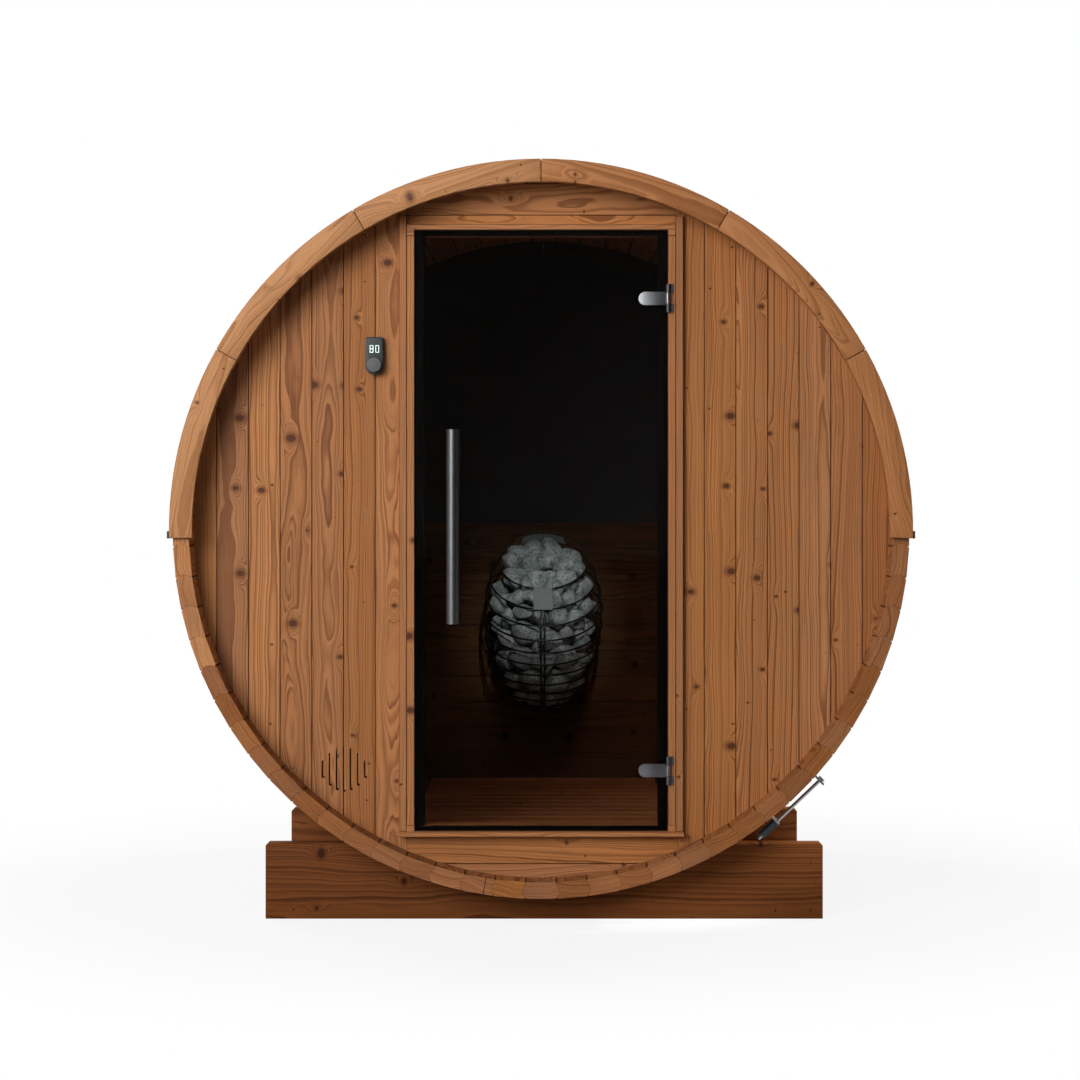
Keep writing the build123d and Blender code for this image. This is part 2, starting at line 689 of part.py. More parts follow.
def make_heater():
    """Wire basket, its load of stones and the bracket on the rear wall."""
    basket = basket_bar(0)
    for number in range(basket_rings):
        z, radius, tilt = basket_ring(number)
        ring = RegularPolygon(radius + basket_wire / 2, basket_sides)
        ring -= RegularPolygon(radius - basket_wire / 2, basket_sides)
        solid = extrude(ring, basket_wire / 2, both=True)
        solid = Pos(0, basket_y, z) * Rot(tilt, 0, 0) * solid
        basket += solid
    for around in (90, 180, 270):
        basket += basket_bar(around)
    export("heater_basket", basket)
    layers = []
    for number in range(basket_rings):
        z, radius, tilt = basket_ring(number)
        inset = basket_wire + stone_play
        layers.append(Pos(0, basket_y, z) * Rot(tilt, 0, 0) * Circle(radius - inset))
    export("heater_stones", loft(layers, ruled=True))
    upper_hold = ring_point(basket_rings - 4, 90)
    lower_hold = ring_point(2, 90)
    plate = block(-mount_half_width, mount_half_width, rear_wall_back - mount_plate, rear_wall_back,
                  lower_hold.Z - mount_overhang, upper_hold.Z + mount_overhang)
    for hold in (upper_hold, lower_hold):
        plate += block(-mount_arm_half, mount_arm_half, hold.Y + basket_wire / 2, rear_wall_back - mount_plate,
                       hold.Z - mount_arm_half, hold.Z + mount_arm_half)
    export("heater_mount", plate - basket)


os.makedirs("parts", exist_ok=True)
make_staves()
make_arch_trims()
make_front_wall()
make_door_frame()
make_hinges()
make_door()
make_control()
make_rear_wall()
make_floor()
make_cradles()
make_hoops()
make_roof()
make_heater()
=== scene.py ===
# %% [markdown]
# # Dressing a barrel sauna
# The sauna is a round cabin of seventy-two staves, held by steel hoops and closed by two boarded
# end walls. The measured model is loaded first and stays fixed. Each cell after it finishes one part
# of the sauna: the timber, the boards, the glass, the fittings, the heater, and last the studio.

# %% Load the measured model
import bmesh
import bpy
import math
import numpy as np
from mathutils import Matrix, Vector


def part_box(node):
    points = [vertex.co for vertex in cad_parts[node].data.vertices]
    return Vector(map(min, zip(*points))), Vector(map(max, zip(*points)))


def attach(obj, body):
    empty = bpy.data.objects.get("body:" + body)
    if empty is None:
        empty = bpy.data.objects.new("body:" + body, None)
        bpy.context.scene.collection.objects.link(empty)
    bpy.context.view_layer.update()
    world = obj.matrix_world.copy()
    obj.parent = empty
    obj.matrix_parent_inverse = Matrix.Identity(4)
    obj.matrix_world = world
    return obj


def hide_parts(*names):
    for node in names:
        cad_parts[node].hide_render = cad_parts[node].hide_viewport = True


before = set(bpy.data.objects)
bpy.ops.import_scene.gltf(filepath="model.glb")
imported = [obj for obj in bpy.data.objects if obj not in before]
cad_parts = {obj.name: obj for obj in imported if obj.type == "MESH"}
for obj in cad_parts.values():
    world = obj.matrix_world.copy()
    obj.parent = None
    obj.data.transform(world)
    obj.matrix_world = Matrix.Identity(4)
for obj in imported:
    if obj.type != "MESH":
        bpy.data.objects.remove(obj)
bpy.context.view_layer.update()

# %% [markdown]
# ## Working by hand, in code
# On a bench only one piece is in the vice at a time. The operators of Blender also act on whatever
# is selected, so every step begins by selecting one object alone. Faces and edges are then picked by
# where they are or which way they look, as an eye would pick them.

# %% One piece in the vice
def hold(piece):
    """Select one piece alone and make it the active one."""
    bpy.ops.object.select_all(action="DESELECT")
    piece.select_set(True)
    bpy.context.view_layer.objects.active = piece


def edit(piece, mode="FACE", action="DESELECT"):
    """Open the piece for editing, with nothing of it selected, or all of it."""
    hold(piece)
    bpy.ops.object.mode_set(mode="EDIT")
    bpy.ops.mesh.select_mode(type=mode)
    bpy.ops.mesh.select_all(action=action)
    return bmesh.from_edit_mesh(piece.data)


def close(piece):
    bpy.ops.object.mode_set(mode="OBJECT")
    return piece


def settle(piece):
    """Put the piece's place into its mesh, so that its object sits at the origin."""
    hold(piece)
    bpy.ops.object.transform_apply(location=True, rotation=True, scale=True)
    return piece


def begin(primitive, name, **settings):
    """Start a piece from one of Blender's primitives."""
    bpy.ops.object.select_all(action="DESELECT")
    primitive(**settings)
    piece = bpy.context.active_object
    piece.name = piece.data.name = name
    return settle(piece)


def block(name, low, high):
    """A block between two corners, to start a piece from."""
    low, high = Vector(low), Vector(high)
    piece = begin(bpy.ops.mesh.primitive_cube_add, name, size=1)
    piece.location, piece.scale = (low + high) / 2, high - low
    return settle(piece)


def fit(piece, kind, **settings):
    """Add one modifier and apply it."""
    hold(piece)
    step = piece.modifiers.new(kind.title(), kind)
    for name, value in settings.items():
        setattr(step, name, value)
    bpy.ops.object.modifier_apply(modifier=step.name)
    return piece


def soften(piece, width, segments=2, angle=30, **settings):
    """Round or bevel the edges that are sharper than an angle."""
    return fit(piece, "BEVEL", width=width, segments=segments, limit_method="ANGLE",
               angle_limit=math.radians(angle), **settings)


def join(pieces, name):
    """Join several pieces into one mesh."""
    hold(pieces[0])
    for piece in pieces[1:]:
        piece.select_set(True)
    if len(pieces) > 1:
        bpy.ops.object.join()
    whole = bpy.context.view_layer.objects.active
    whole.name = whole.data.name = name
    return whole


def copied(piece, move=None, name=None):
    """A copy with its own mesh, moved by a matrix in its mesh."""
    twin = piece.copy()
    twin.data = piece.data.copy()
    twin.name = twin.data.name = name or piece.name
    bpy.context.scene.collection.objects.link(twin)
    if move is not None:
        twin.data.transform(move)
    return twin


def discard(piece):
    bpy.data.objects.remove(piece, do_unlink=True)


print("helpers ready for", len(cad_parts), "measured pieces")

# %% [markdown]
# ## Copies of the measured pieces
# A sawn board never has a razor edge: the plane and the sandpaper break it. The measured pieces are
# exact but sharp, so a copy of each is welded, its flat faces are made whole again, and its edges
# are rounded by a millimetre. The copy then stands in for the measured piece.

# %% Copy, weld and break the edges
weld_distance, flat_angle, sharp_angle = 0.00001, math.radians(0.2), 32


def copy_of(nodes, name, edge=0.0, segments=2):
    """A welded copy of measured nodes as one piece, with its sharp edges broken."""
    copies = []
    for node in nodes:
        twin = copied(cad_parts[node], name=name)
        twin.parent = None
        for key in list(twin.keys()):
            del twin[key]
        twin.hide_render = twin.hide_viewport = False
        copies.append(twin)
    piece = join(copies, name)
    edit(piece, "VERT", "SELECT")
    bpy.ops.mesh.remove_doubles(threshold=weld_distance)
    bpy.ops.mesh.dissolve_limited(angle_limit=flat_angle)
    close(piece)
    if piece.data.has_custom_normals:
        bpy.ops.mesh.customdata_custom_splitnormals_clear()
    if edge:
        soften(piece, edge, segments, sharp_angle, use_clamp_overlap=True, harden_normals=False)
    piece.data.materials.clear()
    return piece


def finish(piece, materials, nodes=(), body="root", angle=35):
    """Smooth, paint and fasten a piece, and let it stand for measured nodes."""
    hold(piece)
    bpy.ops.object.shade_smooth_by_angle(angle=math.radians(angle))
    for material in materials if isinstance(materials, list) else [materials]:
        piece.data.materials.append(material)
    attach(piece, body)
    if nodes:
        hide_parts(*nodes)
    print(piece.name, len(piece.data.polygons), "faces")
    return piece

# %% [markdown]
# ## The grain of every board
# Timber is a solid with a direction: rings about a pith, drawn out along the trunk. If every board
# carries its own coordinates (along, across and through, in metres) and a number of its own, one
# timber recipe can cut each board from a different tree. The coordinates are kept on the vertices.

# %% Give each board its coordinates
barrel_z = (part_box("hoop_bands")[0].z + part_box("hoop_bands")[1].z) / 2
X, Y, Z = Vector((1, 0, 0)), Vector((0, 1, 0)), Vector((0, 0, 1))
upright, level, lengthwise, crosswise = (Z, X), (X, Z), (Y, X), (X, Y)


def loose_parts(mesh):
    """The number of the loose part that each vertex belongs to."""
    owner = np.arange(len(mesh.vertices))
    ends = np.empty(len(mesh.edges) * 2, np.int32)
    mesh.edges.foreach_get("vertices", ends)
    first, second = ends[0::2], ends[1::2]
    while True:
        lowest = np.minimum(owner[first], owner[second])
        before = owner.copy()
        np.minimum.at(owner, first, lowest)
        np.minimum.at(owner, second, lowest)
        owner = owner[owner]
        if np.array_equal(before, owner):
            break
    return np.unique(owner, return_inverse=True)[1]


def grain(piece, directions, seed):
    """Write the attributes grain and board; directions are along and across, or give both for a middle."""
    mesh = piece.data
    places = np.empty(len(mesh.vertices) * 3)
    mesh.vertices.foreach_get("co", places)
    places = places.reshape(-1, 3)
    parts = loose_parts(mesh)
    chance = np.random.default_rng(seed)
    coordinates = np.empty_like(places)
    number = np.empty(len(places))
    for part in range(parts.max() + 1):
        mine = parts == part
        low, high = places[mine].min(0), places[mine].max(0)
        middle = (low + high) / 2
        along, across = directions(Vector(middle)) if callable(directions) else directions
        axes = np.array([along, across, across.cross(along)])
        flip = -1 if chance.random() < 0.5 else 1
        coordinates[mine] = (places[mine] - middle) @ axes.T * np.array([flip, flip, 1])
        number[mine] = chance.random()
    for name, kind, values in (("grain", "FLOAT_VECTOR", coordinates), ("board", "FLOAT", number)):
        layer = mesh.attributes.get(name) or mesh.attributes.new(name, kind, "POINT")
        layer.data.foreach_set("vector" if kind == "FLOAT_VECTOR" else "value", values.ravel().astype(np.float32))
    return piece


def outward(place):
    """The way from the barrel's axis to a place."""
    return Vector((place.x, 0, place.z - barrel_z))


def stave_way(middle):
    """Along the barrel, and across towards the next stave."""
    return Y, outward(middle).normalized().cross(Y)


def arch_way(middle):
    """Along the chord of a curved board, and across towards the rim."""
    out = outward(middle).normalized()
    return out.cross(Y), out


print("barrel's middle at", round(barrel_z, 4))

# %% [markdown]
# ## A timber recipe as a shader group
# Heat-treated softwood is honey brown with darker latewood lines. A line is where a growth ring
# meets the cut face, so the recipe measures the distance from an unseen pith and lets slow noise
# bend it along the trunk: a face near the pith shows arches, a face beside it straight lines. Knots
# push the rings aside. This costs more than a painted stripe and stays true on every side and end.
#
# A shader is drawn as boxes joined by lines. In code it reads more easily as a sum, so what a box gives
# out is wrapped as a reading, and plus, minus and times then add the Math boxes.

# %% Small shader steps
colour_share, colour_a, colour_b, colour_result = 0, 6, 7, 2  # the Mix node's sockets for colours


class Reading:
    """What a node gives out; arithmetic on it adds Math nodes."""

    def __init__(self, socket):
        self.socket = socket

    __add__ = __radd__ = lambda self, other: reckon("ADD", self, other)
    __mul__ = __rmul__ = lambda self, other: reckon("MULTIPLY", self, other)
    __sub__ = lambda self, other: reckon("SUBTRACT", self, other)
    __rsub__ = lambda self, other: reckon("SUBTRACT", other, self)
    __truediv__ = lambda self, other: reckon("DIVIDE", self, other)
    __pow__ = lambda self, other: reckon("POWER", self, other)


def feed(value, socket):
    """Give a socket a reading, a number, a vector or a colour."""
    if isinstance(value, Reading):
        socket.id_data.links.new(value.socket, socket)
    elif isinstance(value, tuple):
        socket.default_value = (*value, 1)[:len(socket.default_value)]
    else:
        socket.default_value = value


def node_of(kind, inputs, tree=None, **settings):
    """A new shader node, fed; without a tree it goes to that of the first reading among its inputs."""
    tree = tree or next(value.socket.id_data for value in inputs.values() if isinstance(value, Reading))
    node = tree.nodes.new("ShaderNode" + kind)
    for name, value in settings.items():
        setattr(node, name, value)
    for label, value in inputs.items():
        feed(value, node.inputs[label])
    return node


def reckon(operation, *values, clamp=False):
    """One Math node."""
    return Reading(node_of("Math", dict(enumerate(values)), operation=operation, use_clamp=clamp).outputs[0])


def length_of(run, rise):
    """The straight distance over two legs."""
    return reckon("SQRT", run ** 2 + rise ** 2)


def ease(value, start, end):
    """0 up to start, 1 from end on, with a soft step between; start may be the larger."""
    inputs = {"Value": value, "From Min": min(start, end), "From Max": max(start, end),
              "To Min": float(start > end), "To Max": float(start < end)}
    return Reading(node_of("MapRange", inputs, interpolation_type="SMOOTHSTEP").outputs["Result"])


def vector_of(*values):
    return Reading(node_of("CombineXYZ", dict(enumerate(values))).outputs[0])


def parts_of(vector):
    return [Reading(part) for part in node_of("SeparateXYZ", {0: vector}).outputs]


def noise_of(place, scale=1.0, detail=2.0, roughness=0.5, dimensions="3D"):
    inputs = {"W" if dimensions == "1D" else "Vector": place, "Scale": scale, "Detail": detail,
              "Roughness": roughness}
    return Reading(node_of("TexNoise", inputs, noise_dimensions=dimensions).outputs["Fac"])


def blend_of(share, first, second, mode="MIX"):
    """Mix two colours; each is a colour or a reading."""
    node = node_of("Mix", {colour_share: share, colour_a: first, colour_b: second}, data_type="RGBA",
                   blend_type=mode)
    return Reading(node.outputs[colour_result])


def raise_by(height, shader, strength, distance):
    """Bump the surface by a height."""
    bump = node_of("Bump", {"Strength": strength, "Distance": distance, "Height": height})
    feed(Reading(bump.outputs["Normal"]), shader.inputs["Normal"])


def show(share, first, second):
    """Let the material show a mix of two shaders."""
    mix = node_of("MixShader", {0: share, 1: Reading(first.outputs[0]), 2: Reading(second.outputs[0])})
    feed(Reading(mix.outputs[0]), mix.id_data.nodes["Material Output"].inputs["Surface"])


def place_in(tree, kind="Object"):
    """The coordinates of the point that is shaded."""
    return Reading(tree.nodes.new("ShaderNodeTexCoord").outputs[kind])


def rays(tree, *kinds):
    """For each kind of ray, 1 where such a ray looks, otherwise 0."""
    path = tree.nodes.new("ShaderNodeLightPath")
    return [Reading(path.outputs[f"Is {kind} Ray"]) for kind in kinds]


def new_group(name, inputs, outputs):
    """An empty shader group with named sockets: its tree, what it is given, and its results."""
    tree = bpy.data.node_groups.new(name, "ShaderNodeTree")
    for label, kind, value in inputs:
        socket = tree.interface.new_socket(label, in_out="INPUT", socket_type=kind)
        if value is not None:
            socket.default_value = value
    for label, kind in outputs:
        tree.interface.new_socket(label, in_out="OUTPUT", socket_type=kind)
    given = {socket.name: Reading(socket) for socket in tree.nodes.new("NodeGroupInput").outputs}
    return tree, given, tree.nodes.new("NodeGroupOutput").inputs


def put_group(tree, group, values):
    """Put a group into a material and feed it; gives its results by name."""
    node = node_of("Group", values, tree, node_tree=group)
    return {socket.name: Reading(socket) for socket in node.outputs}


FLOAT, COLOUR, VECTOR = "NodeSocketFloat", "NodeSocketColor", "NodeSocketVector"
print("shader steps ready")

# %% The timber group
knot_cells, pin_cells = (0.24, 0.095), (0.110, 0.060)
knot_smallest, knot_spread, knot_stretch = 0.0038, 0.0095, 1.35
pin_share, pin_smallest, pin_spread = 0.22, 0.0012, 0.0030


def knots(along, across, shift, cells, randomness, present, smallest, spread):
    """Distance in knot sizes, whether a knot is there, how near its cell's middle is, and its size."""
    cell_along, cell_across = cells
    u, v = along / cell_along + shift, across / cell_across + shift * 3.7
    inputs = {"Vector": vector_of(u, v, 0), "Scale": 1, "Randomness": randomness}
    cell = node_of("TexVoronoi", inputs, voronoi_dimensions="2D")
    middle_u, middle_v, _ = parts_of(Reading(cell.outputs["Position"]))
    luck, bulk, _ = parts_of(Reading(cell.outputs["Color"]))
    size = bulk ** 1.6 * spread + smallest
    run, rise = (u - middle_u) * cell_along * knot_stretch, (v - middle_v) * cell_across
    there = reckon("LESS_THAN", luck, present)
    return length_of(run, rise) / size, there, Reading(cell.outputs["Distance"]), size


def make_timber():
    tree, given, result = new_group(
        "timber",
        [("Grain", VECTOR, None), ("Board", FLOAT, 0.5), ("Early Wood", COLOUR, (0.5, 0.25, 0.11, 1)),
         ("Late Wood", COLOUR, (0.3, 0.13, 0.05, 1)), ("Ring Width", FLOAT, 0.004), ("Pith Spread", FLOAT, 0.1),
         ("Pith Depth", FLOAT, 0.06), ("Knots", FLOAT, 0.4), ("Variety", FLOAT, 1.0)],
        [("Color", COLOUR), ("Roughness", FLOAT), ("Height", FLOAT)],
    )
    along, across, through = parts_of(given["Grain"])
    dice = []
    for offset in (0.13, 5.71):
        toss = reckon("MULTIPLY_ADD", given["Board"], 977.0, offset)
        die = node_of("TexWhiteNoise", {"W": toss}, noise_dimensions="1D")
        dice.extend(parts_of(Reading(die.outputs["Color"])))
    side_die, depth_die, taper_die, width_die, tone_die, purity_die = dice
    shift = given["Board"] * 61.0
    far = along + shift

    def drawn_out(lengthwise, sideways, detail):
        """Noise that is stretched along the trunk."""
        return noise_of(vector_of(far * lengthwise, across * sideways, through * sideways), detail=detail)

    slow, quick = drawn_out(2.3, 9.0, 1.0), drawn_out(9.0, 34.0, 1.5)
    fibre, blotch = drawn_out(7.0, 420.0, 2.0), drawn_out(2.6, 11.0, 2.0)

    # The pith lies behind the face and to one side. Slow noise and a taper bend the rings lengthwise.
    away = across - (side_die - 0.5) * given["Pith Spread"] * 2.0
    deep = through - (depth_die * 0.9 + 0.55) * given["Pith Depth"]
    ring = length_of(away, deep) + along * (taper_die * 0.016 - 0.008)
    ring = ring + (slow - 0.5) * 0.034 + (quick - 0.5) * 0.0055

    # A knot pushes the rings away from itself, most where it is.
    knot, there, nearness, size = knots(along, across, shift, knot_cells, 0.5, given["Knots"], knot_smallest,
                                        knot_spread)
    ring = ring + ease(nearness, 0.30, 0.0) ** 2.2 * there * (size * 2.4)

    # Growth rings of uneven width, each darkening slowly towards its latewood and ending sharply.
    phase = ring / (given["Ring Width"] * (width_die * 0.9 + 0.6))
    phase = phase + noise_of(phase, scale=0.6, detail=1.0, dimensions="1D") * 2.2
    turn = reckon("FRACT", phase)
    strength = noise_of(reckon("FLOOR", phase) + shift, scale=0.71, dimensions="1D") * 1.1 + 0.22
    late = reckon("MULTIPLY", ease(turn, 0.25, 0.86) * ease(turn, 1.0, 0.90), strength, clamp=True)

    # Fibres and blotches, and each board's own tone.
    colour = blend_of(late * 0.88, given["Early Wood"], given["Late Wood"])
    own = (tone_die - 0.5) * given["Variety"]
    tone = (fibre - 0.5) * 0.30 + (blotch - 0.5) * 0.34 + own * 0.26 + 1.0
    purity = (purity_die - 0.5) * given["Variety"] * 0.08 + 1.02
    inputs = {"Value": tone, "Saturation": purity, "Hue": own * 0.003 + 0.5, "Color": colour}
    colour = Reading(node_of("HueSaturation", inputs).outputs["Color"])

    def darkened(share):
        """The early wood's colour, darkened and reddened."""
        return blend_of(1.0, given["Early Wood"], share, mode="MULTIPLY")

    # The knot's halo, its dark heart with fine rings of its own, and scattered pin knots.
    colour = blend_of(ease(knot, 2.6, 0.9) * there * 0.60, colour, darkened((0.25, 0.19, 0.17)))
    wobble = quick * 0.5 + knot
    heart = ease(wobble, 1.35, 1.10) * there
    curl = reckon("SINE", wobble * 15.0) * 0.5 + 0.5
    heartwood = blend_of(curl, darkened((0.15, 0.11, 0.10)), darkened((0.27, 0.20, 0.20)))
    colour = blend_of(heart, colour, heartwood)
    pin, pin_there, _, _ = knots(along, across, shift + 17.3, pin_cells, 0.8, pin_share, pin_smallest, pin_spread)
    dot = ease(pin, 1.5, 0.8) * pin_there * 0.85
    feed(blend_of(dot, colour, darkened((0.15, 0.12, 0.12))), result["Color"])
    feed(fibre * 0.16 + 0.50 + heart * -0.12, result["Roughness"])
    feed(fibre * 0.35 + late * 0.45 + heart * 0.4, result["Height"])
    return tree


timber = make_timber()
print("timber group with", len(timber.nodes), "nodes")

# %% [markdown]
# ## Wood finishes
# The boards, the trim, the frame and the cradles are the same heat-treated wood in different cuts.
# Each finish is a material of its own that places the timber group with its own colours, ring width
# and place of the pith. The shader's own sockets hold what is the same all over.

# %% Wood materials
def linear(red, green, blue):
    """A colour given as on a screen, 0 to 255, as the light values a shader needs."""
    return tuple((c / 255 / 12.92) if c <= 10 else ((c / 255 + 0.055) / 1.055) ** 2.4 for c in (red, green, blue))


def plain(name, colour, roughness, metallic=0.0, **sockets):
    """A material with its constants on the shader; the caller adds what varies."""
    material = bpy.data.materials.new(name)
    material.use_nodes = True
    shader = material.node_tree.nodes["Principled BSDF"]
    constants = {"Base Color": linear(*colour), "Roughness": roughness, "Metallic": metallic}
    constants.update((label.replace("_", " "), value) for label, value in sockets.items())
    for label, value in constants.items():
        feed(value, shader.inputs[label])
    return material, material.node_tree, shader


def wood(name, early, late, ring=0.0046, spread=0.1, depth=0.06, share=0.0, variety=1.0, gloss=0.16):
    """A finish: colours of early and late wood, ring width, place of the pith, share of knots."""
    material, tree, shader = plain(name, early, 0.5, Specular_IOR_Level=gloss)
    values = {"Early Wood": linear(*early), "Late Wood": linear(*late), "Ring Width": ring, "Pith Spread": spread,
              "Pith Depth": depth, "Knots": share, "Variety": variety}
    for label, source, output in (("Grain", "grain", "Vector"), ("Board", "board", "Fac")):
        values[label] = Reading(node_of("Attribute", {}, tree, attribute_name=source).outputs[output])
    cut = put_group(tree, timber, values)
    feed(cut["Color"], shader.inputs["Base Color"])
    feed(cut["Roughness"], shader.inputs["Roughness"])
    raise_by(cut["Height"], shader, 0.35, 0.0006)
    return material


indoors, trim_cut, stave_cut = 0.03, (0.0046, 0.06, 0.080, 0.45, 0.12), (0.0040, 0.03, 0.240, 0.12, 1.2)
wall_wood = wood("wall wood", (188, 128, 82), (104, 56, 28), 0.0046, 0.12, 0.075, 0.50, 1.1)
# Darker wood for the V-groove bevels and the frame's bevels: partly the cut chamfer's own tone, partly painted
# shade.
groove_shade_wood = wood("groove wood painted shade", (98, 51, 28), (64, 31, 15))
# Very dark wood for the eased stave joints and the rear wall's inner grooves: painted shade in the joints.
joint_shade_wood = wood("stave joint painted shade", (58, 30, 16), (38, 19, 10))
# The inner faces of the rear wall and the window arch take darker copies of the wall wood: painted shade of the
# cabin's inside.
shaded_inner_wood = wood("inner wall wood painted shade", (86, 60, 38), (52, 34, 20), 0.0050, 0.10, 0.07, 0.6, gloss=indoors)
shaded_arch_wood = wood("window arch wood painted shade", (62, 32, 18), (39, 19, 10), 0.0050, 0.10, 0.07, 0.3, gloss=indoors)
trim_wood = wood("trim wood", (199, 144, 100), (146, 93, 54), *trim_cut)
# A darker copy of the trim wood for the right half of each trim ring: painted shade, as if the light fell from the
# left.
shaded_trim_wood = wood("trim wood painted shade", (190, 130, 85), (139, 83, 45), *trim_cut)
stave_wood = wood("stave wood", (194, 135, 90), (122, 72, 39), *stave_cut)
# A darker copy of the stave wood for the staves low down and on the right: painted shade, lighter towards the
# upper left.
shaded_stave_wood = wood("lower and right stave wood painted shade", (170, 112, 71), (104, 58, 30), *stave_cut)
frame_wood = wood("frame wood", (182, 125, 82), (132, 80, 48), 0.0032, 0.14, 0.050, 0.45, 0.6)
floor_wood = wood("floor wood", (208, 142, 98), (139, 87, 56), 0.0044, 0.08, 0.050, 0.25, gloss=0.05)
cradle_wood = wood("cradle wood", (122, 72, 38), (62, 31, 14), 0.0075, 0.14, 0.110, 0.6, 0.5, gloss=0.06)
print("wood finishes:", [m.name for m in bpy.data.materials if m.node_tree])

# %% [markdown]
# ## Staves, trims, frame and cradles
# These measured pieces have the right shape already: tongues, grooves for the end walls, arcs and
# rebates. They want broken edges and grain, and painted shade: a dark wood in the staves' joints, darker
# staves low down and on the right, and a darker right half of each trim. Each stave or board is a loose
# part of its mesh, so each gets its own grain and its own tone, as planks from different trees do.

# %% Copied wooden pieces
sides = ("bottom", "lower_right", "right", "upper_right", "top", "upper_left", "left", "lower_left")
# The staves that take the darker, painted-shade stave wood.
shaded_sides = ("bottom", "lower_right", "right", "lower_left")
joint_width, stave_edge, inner_band = 0.0019, 0.0008, 0.003
trim_edge, cradle_edge, frame_edge, board_edge = 0.0018, 0.0012, 0.0011, 0.0010


def slanting(turn):
    """Whether a face looks neither straight nor sideways."""
    return 0.3 < turn < 0.93


def second_where(piece, chosen):
    """Give the chosen faces the second material."""
    for face in piece.data.polygons:
        face.material_index = 1 if chosen(face) else 0
    return piece


def ease_joints(staves):
    """Take off the inner corners of each stave and give them the second material, a dark wood that paints the
    shade in each joint, so that a dark line shows there.
    """
    reach = min(outward(point.co).length for point in staves.data.vertices) + inner_band
    shape = edit(staves, "EDGE")
    for line in shape.edges:
        a, b = line.verts[0].co, line.verts[1].co
        inner = max(outward(a).length, outward(b).length) < reach
        line.select = inner and abs(a.y - b.y) > 0.9 * (a - b).length and line.calc_face_angle(0) > 0.8
    bmesh.update_edit_mesh(staves.data)
    bpy.ops.mesh.bevel(offset=joint_width, segments=1, affect="EDGES")
    soften(close(staves), stave_edge, segments=1, angle=50)

    def eased(face):
        out = outward(face.center)
        return out.length < reach and abs(face.normal.y) < 0.3 and slanting(abs(face.normal.dot(out.normalized())))

    return second_where(staves, eased)


def planed(node, name, way, seed, materials, edge, segments=2, second=None, angle=35):
    """A measured piece with broken edges, grain and a finish."""
    piece = copy_of([node], name, edge, segments)
    if second:
        second_where(piece, second)
    return finish(grain(piece, way, seed), materials, [node], angle=angle)


for count, side in enumerate(sides):
    nodes = [f"staves_{side}"]
    staves = ease_joints(copy_of(nodes, f"{side}_staves"))
    kind = shaded_stave_wood if side in shaded_sides else stave_wood
    finish(grain(staves, stave_way, 100 + count), [kind, joint_shade_wood], nodes, angle=25)

for count, end in enumerate(("front", "rear")):
    # The trim boards right of the middle take the darker trim wood, painted shade.
    planed(f"{end}_arch_trim", f"{end}_trim_boards", arch_way, 120 + count, [trim_wood, shaded_trim_wood],
           trim_edge, second=lambda face: face.center.x > 0)
    for node, name, seed in (("cradle_saddle", "saddle_plank", 130), ("cradle_planks", "low_plank", 142)):
        planed(f"{end}_{node}", f"{end}_{name}", level, seed + count, cradle_wood, cradle_edge)

# The frame's slanting bevels take the darker groove wood, painted shade along its edges.
for node, way, seed in (("door_jambs", upright, 151), ("door_head", level, 152), ("door_sill", level, 153),
                        ("door_casings", upright, 154)):
    planed(node, f"{node}_planed", way, seed, [frame_wood, groove_shade_wood], frame_edge, segments=1,
           second=lambda face: node != "door_sill" and 0.5 < abs(face.normal.y) < 0.85, angle=20)

# The arch's inner faces take the darker arch wood, painted shade; its outer faces take the wall wood.
planed("rear_window_arch", "window_arch_boards", arch_way, 160, [shaded_arch_wood, wall_wood], board_edge,
       second=lambda face: face.normal.y > 0.5)
planed("floor_bearers", "floor_bearer_boards", lengthwise, 161, floor_wood, board_edge)
planed("vent_shutter", "inlet_shutter", upright, 162, wall_wood, board_edge)

# %% [markdown]
# ## Tongue and groove boards
# Both end walls are made of boards with a tongue on one edge and a groove on the other, and a small
# bevel on each face that draws a thin dark line between neighbours; the bevels take a darker wood,
# partly the cut chamfer's own tone and partly painted shade in the groove. One board is modelled by hand
# from a block: two cuts mark out the tongue, the middle strip is drawn out on one side and pushed in on
# the other, and the long edges are bevelled. The floor's planks are plain, with gaps between them. Copies
# are laid side by side, and the whole floor or wall is sawn to the outline of the measured slab.

# %% One board
board_play, groove_bevel, proud = 0.0004, 0.0012, 0.0005
tongue, tongue_slimness, spare, nearly, saw_attempts = 0.008, 0.85, 0.02, 1e-5, 12
no_turn, laid_level = Matrix.Identity(4), Matrix.Rotation(math.radians(90), 4, "Y")


